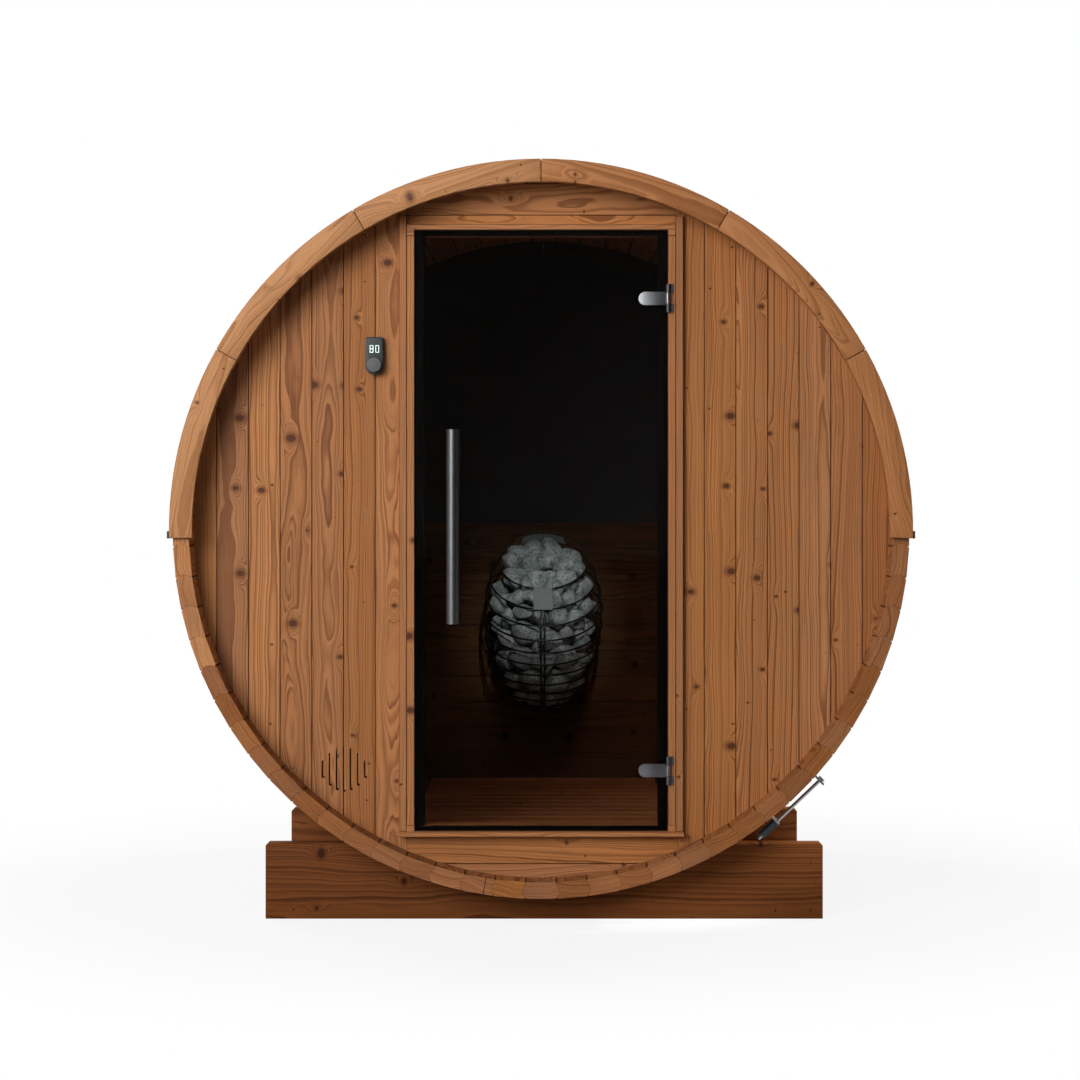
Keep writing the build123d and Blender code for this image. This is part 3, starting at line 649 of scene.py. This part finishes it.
def make_board(width, length, slab_thickness):
    """A board standing on end: its width along X, thickness along Y and length along Z."""
    half, thickness = (width - board_play) / 2, slab_thickness + 2 * proud
    board = block("board", (-half, -thickness / 2, -length / 2), (half, thickness / 2, length / 2))
    edit(board)
    for y in (-thickness / 6, thickness / 6):
        bpy.ops.mesh.select_all(action="SELECT")
        bpy.ops.mesh.bisect(plane_co=(0, y, 0), plane_no=(0, 1, 0))
    for side, move in ((1, tongue), (-1, tongue + board_play)):
        bpy.ops.mesh.select_all(action="DESELECT")
        shape = bmesh.from_edit_mesh(board.data)
        for face in shape.faces:
            face.select = abs(face.calc_center_median().y) < thickness / 8 and face.normal.x * side > 0.9
        bmesh.update_edit_mesh(board.data)
        bpy.ops.mesh.extrude_region_move(TRANSFORM_OT_translate={"value": (move, 0, 0)})
        if side > 0:
            bpy.ops.transform.resize(value=(1, tongue_slimness, 1), center_override=(0, 0, 0))
    close(board)
    shape = edit(board, "EDGE")
    for line in shape.edges:
        a, b = line.verts[0].co, line.verts[1].co
        corner = abs(abs(a.x) - half) < nearly and abs(abs(a.y) - thickness / 2) < nearly
        line.select = corner and abs(a.z - b.z) > length / 2
    bmesh.update_edit_mesh(board.data)
    bpy.ops.mesh.bevel(offset=groove_bevel + proud, segments=1, affect="EDGES")
    return close(board)


def lay(make, places, turn, name, node):
    """Boards at the given places, turned by a matrix and sawn to the measured slab."""
    for attempt in range(saw_attempts):
        board, outline = make(), copy_of([node], "outline")
        boards = join([copied(board, Matrix.Translation(place) @ turn, name) for place in places], name)
        fit(boards, "BOOLEAN", operation="INTERSECT", solver="EXACT", object=outline)
        discard(board)
        discard(outline)
        # Now and then the cut fails and leaves the plain slab, all in one part. Then it starts anew.
        if loose_parts(boards.data).max() > 0 or attempt == saw_attempts - 1:
            return boards
        discard(boards)


def mark_grooves(piece):
    """Give the bevels between boards the second material, a darker wood that paints the shade in the grooves."""
    return second_where(piece, lambda face: slanting(abs(face.normal.y)))


def middle_and_depth(node):
    """Where the middle of an end wall lies along the barrel, and how thick the wall is."""
    low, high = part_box(node)
    return (low.y + high.y) / 2, high.y - low.y

# %% Front wall boards
wall_low, wall_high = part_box("front_wall_left")
wall_middle_y, wall_thickness = middle_and_depth("front_wall_left")
jamb_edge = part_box("door_head")[1].x
left_pitch, right_pitch, right_seam = 0.0870, 0.0867, 0.4473
level_pitch, over_seam, under_seam = 0.0864, 1.9405, 0.1612


def front_boards(node, name, pitch, seam, count, step, seed):
    """The boards of one side of the door, upright or level, from a first seam on."""
    standing = name.endswith("side_boards")
    places = []
    for number in range(count):
        place = seam + step * pitch * (number + 0.5)
        places.append((place, wall_middle_y, barrel_z) if standing else (0, wall_middle_y, place))
    boards = mark_grooves(lay(lambda: make_board(pitch, wall_high.z - wall_low.z + spare, wall_thickness), places,
                              no_turn if standing else laid_level, name, node))
    grain(boards, upright if standing else level, seed)
    finish(boards, [wall_wood, groove_shade_wood], [node], angle=20)


front_boards("front_wall_left", "left_side_boards", left_pitch, -jamb_edge, 8, -1, 171)
front_boards("front_wall_right", "right_side_boards", right_pitch, right_seam - right_pitch, 8, 1, 172)
front_boards("front_wall_over_door", "boards_over_door", level_pitch, over_seam - level_pitch, 3, 1, 173)
front_boards("front_wall_under_door", "boards_under_door", level_pitch, under_seam + level_pitch, 3, -1, 174)

# %% Slide of the air inlet
slide_front, slide_back, slide_right, slide_up = 0.0020, 0.0120, 0.0040, 0.0045
shutter_low, shutter_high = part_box("vent_shutter")
slide = block("inlet_slide", (shutter_low.x, wall_low.y + slide_front, shutter_low.z),
              (shutter_high.x, wall_low.y + slide_back, shutter_high.z))
for shift in (Vector((0, 0, 0)), Vector((slide_right, 0, slide_up))):
    slotted = copy_of(["front_wall_left"], "slotted")
    slotted.data.transform(Matrix.Translation(shift))
    fit(slide, "BOOLEAN", operation="DIFFERENCE", solver="EXACT", object=slotted)
    discard(slotted)
finish(grain(slide, upright, 175), wall_wood)

# %% Rear wall and floor boards
rear_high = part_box("rear_wall_boards")[1]
rear_middle_y, rear_thickness = middle_and_depth("rear_wall_boards")
rear_count = 12
places = [(0, rear_middle_y, rear_high.z - level_pitch * (number + 0.5)) for number in range(rear_count)]
rear = mark_grooves(lay(lambda: make_board(level_pitch, 2 * rear_high.x + spare, rear_thickness), places,
                        laid_level, "rear_level_boards", "rear_wall_boards"))
# Faces on the outer side take the wall wood; the inner side keeps the darker inner wood, painted shade of the
# cabin.
for face in rear.data.polygons:
    if face.center.y > rear_middle_y:
        face.material_index += 2
grain(rear, level, 181)
finish(rear, [shaded_inner_wood, joint_shade_wood, wall_wood, groove_shade_wood], ["rear_wall_boards"], angle=20)

floor_low, floor_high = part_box("floor_boards")
floor_pitch, floor_gap, floor_edge = 0.0945, 0.004, 0.003
half_length, half_width = floor_high.x + spare / 2, (floor_pitch - floor_gap) / 2
floor_count = math.ceil((floor_high.y - floor_low.y) / floor_pitch)


def make_plank():
    low, high = (-half_length, -half_width, floor_low.z), (half_length, half_width, floor_high.z)
    return soften(block("plank", low, high), floor_edge)


places = [(0, floor_low.y + floor_pitch * (number + 0.5), 0) for number in range(floor_count)]
floor = lay(make_plank, places, no_turn, "floor_planks", "floor_boards")
finish(grain(floor, crosswise, 182), floor_wood, ["floor_boards"])

# %% [markdown]
# ## Glass
# The door is one sheet of tinted glass. Light has to reach the cabin through it, and a path tracer
# gives glass a solid shadow, so shadow rays meet a plain tinted pane instead. The half-round rear
# window is so dark that it reads as black.

# %% Glass materials
def dress(node, material):
    """Give a measured piece its material."""
    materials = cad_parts[node].data.materials
    materials.clear()
    materials.append(material)


door_tint = (196, 190, 186)
door_glass, tree, shader = plain("door glass", door_tint, 0.0, Transmission_Weight=1.0, IOR=1.12,
                                 Specular_IOR_Level=0.35)
pane = node_of("BsdfTransparent", {"Color": linear(*door_tint)}, tree)
show(rays(tree, "Shadow")[0], shader, pane)

window_glass, _, _ = plain("window glass", (50, 54, 55), 0.35, Specular_IOR_Level=0.05)
dress("door_glass", door_glass)
dress("rear_window_glass", window_glass)
print("glass set")

# %% [markdown]
# ## Metal, rubber and plastic
# The handles and clamps are satin steel, the hinge leaves are darker, the hoops are zinc plated, and
# the basket is black wire. What they share is fine wear: a faint clouding of the gloss, and brush
# lines where the metal was drawn. One shader group gives both as masks.

# %% The wear group
brush_fineness, gloss_range, brush_height = 9.0, 0.12, 0.0003


def make_wear():
    tree, given, result = new_group(
        "fine wear",
        [("Place", VECTOR, None), ("Stretch", VECTOR, (1, 1, 1)), ("Scale", FLOAT, 40.0)],
        [("Cloud", FLOAT), ("Brush", FLOAT)],
    )
    drawn = node_of("VectorMath", {0: given["Place"], 1: given["Stretch"]}, operation="MULTIPLY")
    feed(noise_of(given["Place"], given["Scale"], detail=3.0), result["Cloud"])
    feed(noise_of(Reading(drawn.outputs[0]), given["Scale"] * brush_fineness, detail=3.0), result["Brush"])
    return tree


wear = make_wear()


def worn(name, colour, roughness, metallic=0.0, stretch=(1, 1, 1), scale=40.0, tone=0.15, bump=0.0, **sockets):
    """A material whose tone and gloss vary with the wear group."""
    material, tree, shader = plain(name, colour, roughness, metallic, **sockets)
    masks = put_group(tree, wear, {"Place": place_in(tree), "Stretch": stretch, "Scale": scale})
    cloud, brush = masks["Cloud"], masks["Brush"]
    feed((cloud + brush - 1.0) * gloss_range + roughness, shader.inputs["Roughness"])
    dark, pale = (tuple(min(1, part * share) for part in linear(*colour)) for share in (1 - tone, 1 + tone))
    feed(blend_of(cloud, dark, pale), shader.inputs["Base Color"])
    if bump:
        raise_by(brush, shader, bump, brush_height)
    return material


drawn_metal = {"metallic": 1.0, "stretch": (6, 6, 0.3), "scale": 30}
satin_steel = worn("satin steel", (106, 107, 109), 0.40, **drawn_metal)
clamp_steel = worn("clamp steel", (134, 135, 137), 0.34, **drawn_metal)
dark_steel = worn("dark steel", (84, 85, 87), 0.52, **drawn_metal)
zinc = worn("zinc plate", (176, 177, 180), 0.40, 1.0, scale=60, tone=0.12)
dull_zinc = worn("dull zinc", (84, 87, 92), 0.42, 1.0, scale=60, tone=0.12)
roof_rubber = worn("roof rubber", (44, 43, 42), 0.78, scale=9, tone=0.25, bump=0.5)
edge_metal = worn("edge metal", (52, 46, 42), 0.50, scale=30, tone=0.2)
panel_plastic = worn("panel plastic", (46, 47, 49), 0.46, scale=300, tone=0.08, bump=0.1)
knob_plastic = worn("knob plastic", (88, 89, 91), 0.55, scale=300, tone=0.06, bump=0.1)
basket_wire = worn("basket wire", (24, 23, 23), 0.34, 0.5, scale=80, tone=0.2)
# Near-black rubber: the seal's own colour, and painted shade of the rebate behind the glass.
seal_rubber_and_painted_shade = worn("seal rubber and painted shade", (8, 7, 6), 0.80, scale=120, tone=0.2, Specular_IOR_Level=0.08)
plate_steel = worn("plate steel", (104, 110, 110), 0.60, scale=80, tone=0.1)

# The clamps' faces are slightly crowned, which shows as a sheen that fades from left to right.
crown_middle, crown = 0.312, 1.8
across, _, _ = parts_of(place_in(clamp_steel.node_tree))
raise_by((across - crown_middle) ** 2 * -crown, clamp_steel.node_tree.nodes["Principled BSDF"], 1.0, 1.0)

finishes = {
    "door_handle_outer": satin_steel, "door_handle_inner": satin_steel,
    "hinge_clamps": clamp_steel, "hinge_leaves": dark_steel,
    "hoop_bands": zinc, "hoop_ears": zinc, "hoop_bolts": zinc, "hoop_coupling_nuts": dull_zinc,
    "roof_membrane": roof_rubber, "roof_edge_strips": edge_metal, "heater_mount": basket_wire,
}
for node, material in finishes.items():
    dress(node, material)
print("finishes on", len(finishes), "measured pieces")

# %% [markdown]
# ## Control panel
# A small plastic housing with rounded edges, a round knob in a shallow dark ring, and a lit display.
# The housing and the knob are welded copies with soft edges, so that they catch a thin line of light.
# The display shows a plain number, made of seven-segment bars as such displays are.

# %% Housing, knob and display
housing = copy_of(["control_panel"], "panel_housing", edge=0.0028, segments=4)
finish(housing, panel_plastic, ["control_panel"], angle=50)
knob = copy_of(["control_knob"], "panel_knob", edge=0.0014, segments=3)
finish(knob, knob_plastic, ["control_knob"], body="control_knob", angle=50)

lit = (214, 240, 232)
display_light, _, _ = plain("display light", lit, 0.4, Emission_Color=linear(*lit), Emission_Strength=0.85)
bars_lit = {"8": "abcdefg", "0": "abcdef"}
digit_width, digit_height, bar, bar_edge = 0.0100, 0.0205, 0.0019, 0.0005
bar_places = {
    "a": (0, 1, "flat"), "g": (0, 0, "flat"), "d": (0, -1, "flat"),
    "f": (-1, 0.5, "tall"), "b": (1, 0.5, "tall"), "e": (-1, -0.5, "tall"), "c": (1, -0.5, "tall"),
}
panel_low, panel_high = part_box("control_panel")
panel_x = (panel_low.x + panel_high.x) / 2
display_z, digit_step, lit_depth = 1.5720, 0.0155, 0.0006


def make_digit(figure, x):
    """One figure of bevelled bars on the housing's face."""
    bars = []
    for letter in bars_lit[figure]:
        right, up, kind = bar_places[letter]
        aside, above = right * (digit_width - bar) / 2, up * (digit_height - bar) / 2
        middle = Vector((x + aside, panel_low.y, display_z + above))
        if kind == "flat":
            reach = Vector(((digit_width - bar * 0.6) / 2, lit_depth, bar / 2))
        else:
            reach = Vector((bar / 2, lit_depth, (digit_height / 2 - bar * 0.3) / 2))
        bars.append(soften(block("bar", middle - reach, middle + reach), bar_edge))
    return bars


digits = make_digit("8", panel_x - digit_step / 2) + make_digit("0", panel_x + digit_step / 2)
finish(join(digits, "display_figures"), display_light)

# %% [markdown]
# ## Door seal
# A rubber seal lies in the rebate behind the glass and draws the dark band that frames the door. Its
# near-black is partly the rubber's own and partly painted shade of the rebate. It is a rectangle of flat
# strip, a block with its middle cut out by a second block, and a thin upright lip on each side reaches
# back along the jamb and covers the rebate's wood with the same painted shade.

# %% Seal in the rebate
glass_low, glass_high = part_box("door_glass")
rebate_y = glass_high.y + 0.005
seal_height, seal_edge, seal_inset, seal_play, glass_run, lap = 0.0035, 0.0008, 0.0006, 0.0003, 0.005, 0.011
opening_x, opening_low, opening_high = 0.320, glass_low.z + lap, glass_high.z - lap
lip_depth, lip_thickness = 0.035, 0.0010


def make_seal():
    outer_x = glass_high.x + glass_run - seal_play
    outer_low, outer_high = glass_low.z - glass_run + seal_play, glass_high.z + glass_run - seal_play
    inner_x = opening_x + seal_inset
    seal = block("door_seal", (-outer_x, rebate_y - seal_height, outer_low), (outer_x, rebate_y, outer_high))
    cutter = block("cutter", (-inner_x, rebate_y - 1, opening_low - seal_inset),
                   (inner_x, rebate_y + 1, opening_high + seal_inset))
    fit(seal, "BOOLEAN", operation="DIFFERENCE", solver="EXACT", object=cutter)
    discard(cutter)
    soften(seal, seal_edge)
    # The lips cover the jamb's wood in the rebate with the near-black seal, painted shade.
    lips = []
    for left in (-inner_x, inner_x - lip_thickness):
        lips.append(block("lip", (left, rebate_y - seal_height / 2, opening_low),
                          (left + lip_thickness, rebate_y + lip_depth, opening_high)))
    return join([seal] + lips, "door_seal")


finish(make_seal(), seal_rubber_and_painted_shade)

# %% [markdown]
# ## Heater basket
# Twelve rings of round wire, each a little wider or narrower and more tilted than the last, give the
# basket its egg shape. Five wires run down through them, two of them side by side in front. A ring is
# a small circle spun about the ring's axis. The rings follow the measured basket: their width comes
# from its box.

# %% Rings and wires
basket_low, basket_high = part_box("heater_basket")
wire, wire_sides, ring_steps = 0.0030, 10, 72
belly_radius = (basket_high.x - basket_low.x) / 2 - wire
basket_y, belly_z, upper_axis, lower_axis = 0.537, 0.790, 0.256, 0.329
ring_count, low_ring, top_ring, crowding = 12, 0.494, 0.958, 1.30
low_tilt, top_tilt = 14.0, 38.0


def ring_shape(number):
    """Height, radius and tilt of a ring, counted from the bottom; fractions lie between rings."""
    share = (number / (ring_count - 1)) ** crowding
    z = low_ring + share * (top_ring - low_ring)
    axis = upper_axis if z > belly_z else lower_axis
    radius = belly_radius * math.sqrt(1 - ((z - belly_z) / axis) ** 2)
    return z, radius, math.radians(low_tilt + share * (top_tilt - low_tilt))


def ring_place(number, around, inset=0.0):
    """A point of a ring; around is 0 at the right and 90 at the back."""
    z, radius, tilt = ring_shape(number)
    x = (radius - inset) * math.cos(math.radians(around))
    run = (radius - inset) * math.sin(math.radians(around))
    return Vector((x, basket_y + run * math.cos(tilt), z + run * math.sin(tilt)))


def make_ring(number):
    z, radius, tilt = ring_shape(number)
    ring = begin(bpy.ops.mesh.primitive_circle_add, "ring", vertices=wire_sides, radius=wire,
                 location=(radius, 0, 0), rotation=(math.radians(90), 0, 0))
    edit(ring, "VERT", "SELECT")
    bpy.ops.mesh.spin(steps=ring_steps, angle=2 * math.pi, center=(0, 0, 0), axis=(0, 0, 1))
    bpy.ops.mesh.select_all(action="SELECT")
    bpy.ops.mesh.remove_doubles(threshold=0.0001)
    bpy.ops.mesh.normals_make_consistent(inside=False)
    close(ring)
    ring.data.transform(Matrix.Translation((0, basket_y, z)) @ Matrix.Rotation(tilt, 4, "X"))
    return ring


def make_wire(around):
    """A wire down the basket, through every ring."""
    route = [ring_place(number / 2, around, 2 * wire) for number in range(2 * ring_count - 1)]
    rod = begin(bpy.ops.mesh.primitive_circle_add, "rod", vertices=wire_sides, radius=wire, fill_type="NGON",
                location=route[0])
    edit(rod, "FACE", "SELECT")
    for here, there in zip(route, route[1:]):
        bpy.ops.mesh.extrude_region_move(TRANSFORM_OT_translate={"value": there - here})
    bpy.ops.mesh.select_all(action="SELECT")
    bpy.ops.mesh.normals_make_consistent(inside=False)
    return close(rod)


rings = [make_ring(number) for number in range(ring_count)]
wires = [make_wire(around) for around in (0, 90, 180, 268.2, 271.8)]
finish(join(rings + wires, "wire_basket"), basket_wire, ["heater_basket"], angle=60)

# %% Plate and element cover
plate_width, plate_thickness, plate_edge, plate_shift = 0.062, 0.0016, 0.0007, Vector((0, -0.0010, 0.003))
hang, foot = ring_place(ring_count - 1, 270, -wire), ring_place(ring_count - 2, 270, -wire)
slope = foot - hang
plate = block("basket_plate", (-plate_width / 2, -plate_thickness, -slope.length - wire),
              (plate_width / 2, 0, wire))
soften(plate, plate_edge)
plate.data.transform(Matrix.Translation(hang + plate_shift)
                     @ Matrix.Rotation(math.atan2(slope.y, -slope.z), 4, "X"))
finish(plate, plate_steel)

cover_from, cover_to, cover_turns, cover_fall, cover_drop, cover_thickness = 62, 118, 14, 0.5, 0.04, 0.0015
cover = begin(bpy.ops.mesh.primitive_grid_add, "element_cover", x_subdivisions=cover_turns, y_subdivisions=1,
              size=1)
for point in cover.data.vertices:
    around = cover_from + (cover_to - cover_from) * (point.co.x + 0.5)
    down = cover_fall * (0.5 - point.co.y) + cover_drop
    point.co = ring_place(ring_count - 1 - down, around, 2.5 * wire)
fit(cover, "SOLIDIFY", thickness=cover_thickness, offset=0)
edit(cover, "FACE", "SELECT")
bpy.ops.mesh.normals_make_consistent(inside=False)
finish(close(cover), plate_steel)

# %% [markdown]
# ## Stones
# The basket holds about a hundred and twenty rounded stones of 60 to 100 mm. A few stones are shaped by
# hand from a ball of small faces, squashed and dented by noise. To pack them, points are scattered in
# the egg and pushed apart until neighbours only touch, then each point gets a turned copy of a stone.

# %% Shape a few stones
ball_steps, stone_kinds, noise_step, dent_size, dent_depth = 3, 7, 3.1, 1.05, 0.75
flat_sides, flat_from, flat_spread, flat_share = 3, 0.70, 0.12, 0.72
radius_range, heap_rise, stone_count = (0.029, 0.049), 0.020, 125


def make_stone(seed):
    chance = np.random.default_rng(seed)
    stone = begin(bpy.ops.mesh.primitive_ico_sphere_add, f"stone_{seed}", subdivisions=ball_steps, radius=1)
    stretch = Vector((1.0 + 0.18 * chance.random(), 0.82 + 0.15 * chance.random(), 0.66 + 0.16 * chance.random()))
    edit(stone, "VERT", "SELECT")
    bpy.ops.transform.resize(value=stretch)
    close(stone)
    cloud = bpy.data.textures.new(f"dents_{seed}", "CLOUDS")
    cloud.noise_scale, cloud.noise_depth = dent_size, 1
    stone.data.transform(Matrix.Translation((seed * noise_step, 0, 0)))
    fit(stone, "DISPLACE", texture=cloud, texture_coords="LOCAL", strength=dent_depth, mid_level=0.5)
    stone.data.transform(Matrix.Translation((-seed * noise_step, 0, 0)))
    for _ in range(flat_sides):
        flat_side = Vector(chance.normal(size=3)).normalized()
        limit = flat_from + flat_spread * chance.random()
        for vertex in stone.data.vertices:
            over = max(0, vertex.co.dot(flat_side) - limit)
            vertex.co -= flat_side * over * flat_share
    return stone


stones = [make_stone(seed) for seed in range(1, stone_kinds + 1)]

# %% Pack the stones
heap_middle, heap_spread = np.array([0, basket_y, 0.76]), np.array([0.13, 0.12, 0.22])
side_room, floor_room, closeness, push_share = 1.15, 0.90, 0.93, 0.35
settling_turns, falling_turns, fall = 420, 330, 0.0008
steps_between_rings = 4


def pack_stones(count, seed):
    """Centres and radii inside the basket, pushed apart until they settle."""
    chance = np.random.default_rng(seed)
    radii = chance.uniform(*radius_range, count)
    points = heap_middle + chance.uniform(-1, 1, (count, 3)) * heap_spread
    levels = range(steps_between_rings * (ring_count - 1) + 1)
    heights, widths, tilts = np.array([ring_shape(number / steps_between_rings) for number in levels]).T
    rim, top_lean = np.array([0, basket_y, top_ring]), math.radians(top_tilt)
    out_of_rim = np.array([0, -math.sin(top_lean), math.cos(top_lean)])

    def confine(points):
        """Keep the stones within the leaning rings, over the bottom and under the heap's top."""
        for _ in range(2):
            run = points[:, 1] - basket_y
            level_z = points[:, 2].copy()
            for _ in range(4):
                level_z = points[:, 2] - run * np.tan(np.interp(level_z, heights, tilts))
            lean = np.interp(level_z, heights, tilts)
            along = run / np.cos(lean)
            radius = np.interp(level_z, heights, widths) - radii * side_room - 3 * wire
            pull = np.minimum(1, radius / np.maximum(np.hypot(points[:, 0], along), 1e-6))
            points[:, 0] *= pull
            points[:, 1] = basket_y + along * pull * np.cos(lean)
            points[:, 2] = np.maximum(points[:, 2], low_ring + radii * floor_room + along * pull * np.sin(lean))
            over = (points - rim) @ out_of_rim - heap_rise + radii
            points -= np.maximum(0, over)[:, None] * out_of_rim
        return points

    itself = np.eye(count)
    wanted = (radii[:, None] + radii[None, :]) * closeness
    for turn in range(settling_turns):
        gap = points[:, None, :] - points[None, :, :]
        distance = np.linalg.norm(gap, axis=2) + itself
        overlap = np.maximum(0, wanted - distance) * (1 - itself)
        points = points + (gap / distance[:, :, None] * overlap[:, :, None]).sum(1) * push_share
        if turn < falling_turns:
            points -= fall * out_of_rim
        points = confine(points)
    return points, radii


points, radii = pack_stones(stone_count, 7)
chance = np.random.default_rng(11)
heap = []
for place, radius in zip(points, radii):
    turn = Matrix.Rotation(chance.uniform(0, 6.28), 4, Vector(chance.normal(size=3)).normalized())
    source = stones[chance.integers(len(stones))]
    heap.append(copied(source, Matrix.Translation(place) @ turn @ Matrix.Scale(radius, 4), "heap"))
for stone in stones:
    discard(stone)
print("stones up to", round(float((points[:, 2] + radii).max()), 3))

# %% Stone finish
stone_grey, tree, shader = plain("heater stone", (128, 136, 137), 0.85, Specular_IOR_Level=0.10)
speckle = noise_of(place_in(tree), scale=170, detail=3, roughness=0.75)
patch = noise_of(place_in(tree), scale=26, detail=3)
colour = blend_of(ease(patch, 0.3, 0.7), linear(112, 121, 122), linear(162, 169, 168))
spots = ease(speckle, 0.54, 0.61) * 0.88
feed(blend_of(spots, colour, linear(30, 33, 34)), shader.inputs["Base Color"])
raise_by(speckle, shader, 0.6, 0.0025)
finish(join(heap, "rounded_stones"), stone_grey, ["heater_stones"], angle=60)

# %% [markdown]
# ## Studio
# The sauna stands on a pale floor in a white room. The light comes from a large soft lamp, high on
# the left of the camera, which throws the rim's shadow on the wall. Two weaker lamps lift the back, one
# small lamp grazes the cradle on the right, and a narrow one reaches the heater. The white surroundings
# are what camera, mirror and glass rays see behind the sauna.

# %% Floor
ground = begin(bpy.ops.mesh.primitive_plane_add, "studio_floor", size=80)
floor_white, tree, shader = plain("studio floor", (230, 230, 230), 0.9, Specular_IOR_Level=0.1)
glow = node_of("Emission", {"Strength": 1.0}, tree)
camera_ray, glass_ray, glossy_ray = rays(tree, "Camera", "Transmission", "Glossy")
seen = reckon("MAXIMUM", reckon("MAXIMUM", camera_ray, glass_ray), glossy_ray)
x, y, _ = parts_of(place_in(tree))

# In front of the sauna a mirror sees a dark floor. Near the sauna the floor shows its shadow.
before = glossy_ray * ease(y, -1.4, -2.6)
bright = blend_of(camera_ray, (0.45, 0.45, 0.45), (0.90, 0.90, 0.90))
feed(blend_of(before, bright, (0.03, 0.03, 0.03)), shader.inputs["Base Color"])
share = (ease(length_of(x, y), 1.2, 2.3) * 0.14 + 0.86) * (1.0 - before)
show(seen * share, shader, glow)
ground.data.materials.append(floor_white)

# %% World
world = bpy.data.worlds.new("studio")
bpy.context.scene.world = world
world.use_nodes = True
tree = world.node_tree
background = tree.nodes["Background"]
x, y, _ = parts_of(place_in(tree, "Generated"))
camera_ray, glass_ray, glossy_ray = rays(tree, "Camera", "Transmission", "Glossy")
ambient = 0.145
room = ease(x, -0.10, -0.85) * 0.60 + 0.03
white = reckon("MAXIMUM", reckon("MAXIMUM", camera_ray, glass_ray), glossy_ray * ease(y, 0.02, 0.25))
strength = reckon("MAXIMUM", white, glossy_ray * room + (1.0 - glossy_ray) * ambient)
feed(strength, background.inputs["Strength"])
feed((1.0, 1.0, 1.0), background.inputs["Color"])

# %% Lamps
def lamp(name, place, target, watts, size=1.0, spread=180, cone=None, blend=0.0, softness=0.0, colour=(1, 1, 1)):
    """A lamp aimed at a target: a wide round one, or with a cone a spot."""
    light = bpy.data.lights.new(name, "SPOT" if cone else "AREA")
    light.energy, light.color = watts, colour
    if cone:
        light.spot_size, light.spot_blend, light.shadow_soft_size = math.radians(cone), blend, softness
    else:
        light.shape, light.size, light.spread = "DISK", size, math.radians(spread)
    holder = bpy.data.objects.new(name, light)
    bpy.context.scene.collection.objects.link(holder)
    holder.location = place
    holder.rotation_euler = (Vector(target) - Vector(place)).to_track_quat("-Z", "Y").to_euler()


lamp("key", (-3.22, -6.21, 3.28), (-0.45, -0.85, 1.55), 79, size=4.3, spread=75)
lamp("cradle light", (3.2, -0.73, 1.9), (0.70, -0.73, 0.25), 600, cone=8, blend=0.8, softness=0.08)
lamp("rear left", (-5.0, 6.0, 4.0), (0, 0.5, 1.1), 330, size=3.0)
lamp("rear right", (5.5, 4.5, 3.5), (0, 0.5, 1.1), 300, size=3.0)
lamp("heater light", (0.35, -4.6, 3.5), (0, 0.50, 0.85), 4400, cone=5.2, blend=0.7, softness=0.10,
     colour=(0.70, 0.88, 1.0))

# %% Camera
lens_data = bpy.data.cameras.new("camera")
lens_data.sensor_width = 36
lens_data.lens = 81.5
lens_data.shift_x, lens_data.shift_y = -0.0119, -0.04115
camera = bpy.data.objects.new("camera", lens_data)
camera.location = (0.032, -7.49, 1.171)
camera.rotation_euler = (math.radians(90), 0, 0)
bpy.context.scene.collection.objects.link(camera)
bpy.context.scene.camera = camera
bpy.context.scene.view_settings.view_transform = "Standard"
